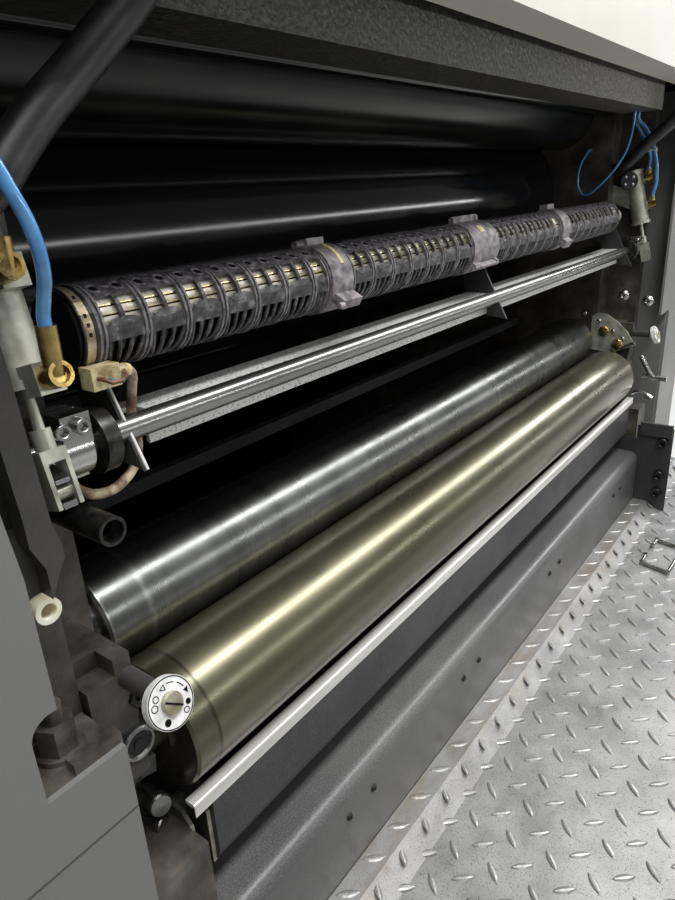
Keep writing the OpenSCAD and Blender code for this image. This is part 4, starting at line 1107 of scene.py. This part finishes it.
# A black bar on each dial screw paints the shade in its slot.
SLOT_SHADE = [[(-6.2, -0.3), (6.2, -1.7), (6.4, -0.5), (-6, 0.9)]]
for side, x in (("left", -DIAL_X), ("right", DIAL_X)):
    flat_piece(side + "_dial_ink", "frame", dial_ink(), dial_plane(x), "black_rubber")
    flat_piece(side + "_dial_slot", "frame", SLOT_SHADE, dial_plane(x) @ Matrix.Translation((0, 0, 3.4)),
               "black_rubber")
print("dials marked")

# %% [markdown]
# The small parts of both ends are turned on a lathe: a hex knob, the ring round the pan roller's
# journal, two pins, the black cap of the slatted core, the dials' brass screws and the round cap of the
# right air cylinder. Each is a profile turned about its own axis, and the square nut has four sides.

# %% Turned parts at both ends
def turned_piece(name, profile, matrix, label, sides=32, angle=0.0, body="frame"):
    """A solid of revolution about local Z, placed by a matrix, in millimetres."""
    shape = bmesh.new()
    turned(shape, profile, sides, angle)
    bmesh.ops.transform(shape, matrix=matrix, verts=shape.verts)
    bmesh.ops.scale(shape, vec=(MM, MM, MM), verts=shape.verts)
    return drawn(name, body, shape, label)


def facing(point, direction):
    """A matrix that puts local Z along a direction at a point."""
    return Matrix.Translation(point) @ Vector(direction).to_track_quat("Z", "Y").to_matrix().to_4x4()


FRONT = (0, -1, 0)
JOURNAL = facing((-567, -170, 567), FRONT)
turned_piece("hex_knob", [(0, -4), (9, -4), (9, 4), (8, 5), (4, 5), (4, 8), (0, 8)],
             facing((-560, -169, 602), FRONT), "black_oxide", 6)
turned_piece("journal_ring", [(0, -2), (12.7, -2), (12.7, 2), (11.5, 3), (9.8, 3), (9, 1), (0, 1)],
             JOURNAL, "steel_tube", 36)
turned_piece("journal_centre", [(0, 0.9), (8.7, 0.9), (8.7, 1.3), (4, 1.3), (3.6, 2.2), (0, 2.2)],
             JOURNAL, "black_rubber", 32)
turned_piece("square_nut", [(0, -14), (9, -14), (9, 4), (8, 5.5), (0, 5.5)],
             facing((-563, -166, 543), (-0.1, -1, 0.1)), "dark_casting", 4, 0.6)
PIN = [(0, -26), (5, -26), (5, -7), (8, -7), (8.4, -5), (8.4, 0), (7.4, 1.4), (0, 1.8)]
turned_piece("upper_frame_pin", PIN, facing((-557, -166, 499), (-0.25, -1, 0.2)), "steel_tube", 32)
turned_piece("lower_frame_pin", [(r * 0.75, z * 0.8) for r, z in PIN],
             facing((-558, -166, 481), (0.3, -1, 0.1)), "steel_tube", 32)
core_cap = turned_piece(
    "core_cap", [(0, -7), (22, -7), (22, -2.7), (24.5, -2.5), (24.5, -0.6), (23.8, 0), (0, 0)],
    facing((-544, CORE_Y, CORE_Z), (-1, 0, 0)), "black_gloss", 40, body="swing_frame")
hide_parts("core_end_disc")
for side, x in (("left", -DIAL_X), ("right", DIAL_X)):
    turned_piece(side + "_dial_screw", [(0, 0), (7, 0), (7, 2.4), (6.2, 3.3), (0, 3.4)], dial_plane(x),
                 "slat_brass", 32)
cap = facing((565, -139, 884), (-0.93, -0.33, 0.14))
turned_piece("cylinder_cap", [(0, -6), (13.5, -6), (14.5, -5), (14.5, 1), (13.5, 2), (0, 2)], cap,
             "black_oxide", 40)
for k in range(4):
    a = math.radians(45 + 90 * k)
    turned_piece(f"cap_screw_{k}", [(0, 1), (2.6, 1), (2.6, 3), (2, 3.6), (0, 3.8)],
                 cap @ Matrix.Translation((8.5 * math.cos(a), 8.5 * math.sin(a), 0)), "bright_steel", 16)

# %% [markdown]
# The last pieces are thin and bent: two insulated wires at the connector, the tie round two hoses and a
# few bars and levers in the dark right corner. The tree that sweeps a bar draws them all from a few
# points read off the picture.

# %% Wires, tie and thin bars
WIRES = {
    "connector_wire_brown": ("cable_brown", [
        (-541, -161, 806), (-541, -166, 806), (-538, -170, 804), (-532, -170, 804), (-526, -166, 805),
        (-521, -157, 806)]),
    "connector_wire_teal": ("wire_teal", [
        (-534, -161, 804), (-534, -165, 804), (-530, -168, 803), (-524, -163, 804), (-519, -156, 804)]),
}
for name, (label, line) in WIRES.items():
    sweep(name, "swing_frame", [line], 1.3, label, 10)
sweep("cable_band", "swing_frame", [[(-519.5, -154, 805.5), (-515, -151, 804)]], 4.0, "yellow_label", 16)
EDGE_LOW, EDGE_HIGH = (-168.6, 745.5), (-136.6, 805.5)
sweep("bracket_edge", "swing_frame", [[(-523.8, *EDGE_LOW), (-523.8, *EDGE_HIGH)]], 1.4, "aluminium", 4)
sweep("fan_pin_bar", "frame", [[(544, -142, 588), (544, -183, 606)]], 4, "bright_steel", 12)
TRIPS = [[(548, -194, 583), (548, -213, 553), (548, -222, 545)],
         [(548, -201, 546), (548, -243, 544)],
         [(548, -222, 505), (548, -201, 517), (548, -186, 511)]]
sweep("right_trip_levers", "frame", TRIPS, 4.5, "bright_steel", 8)
TIE_X, TIE_Y, TIE_Z = 569.5, -169.5, 931
turns = [math.radians(a) for a in range(0, 361, 20)]
tie = [(TIE_X + 6.5 * math.cos(a), TIE_Y + 8.2 * math.sin(a), TIE_Z + math.sin(2 * a)) for a in turns]
sweep("hose_tie", "frame", [tie, [(564, -174, TIE_Z), (558, -180, TIE_Z + 3)]], 1.2, "tie_white", 8)
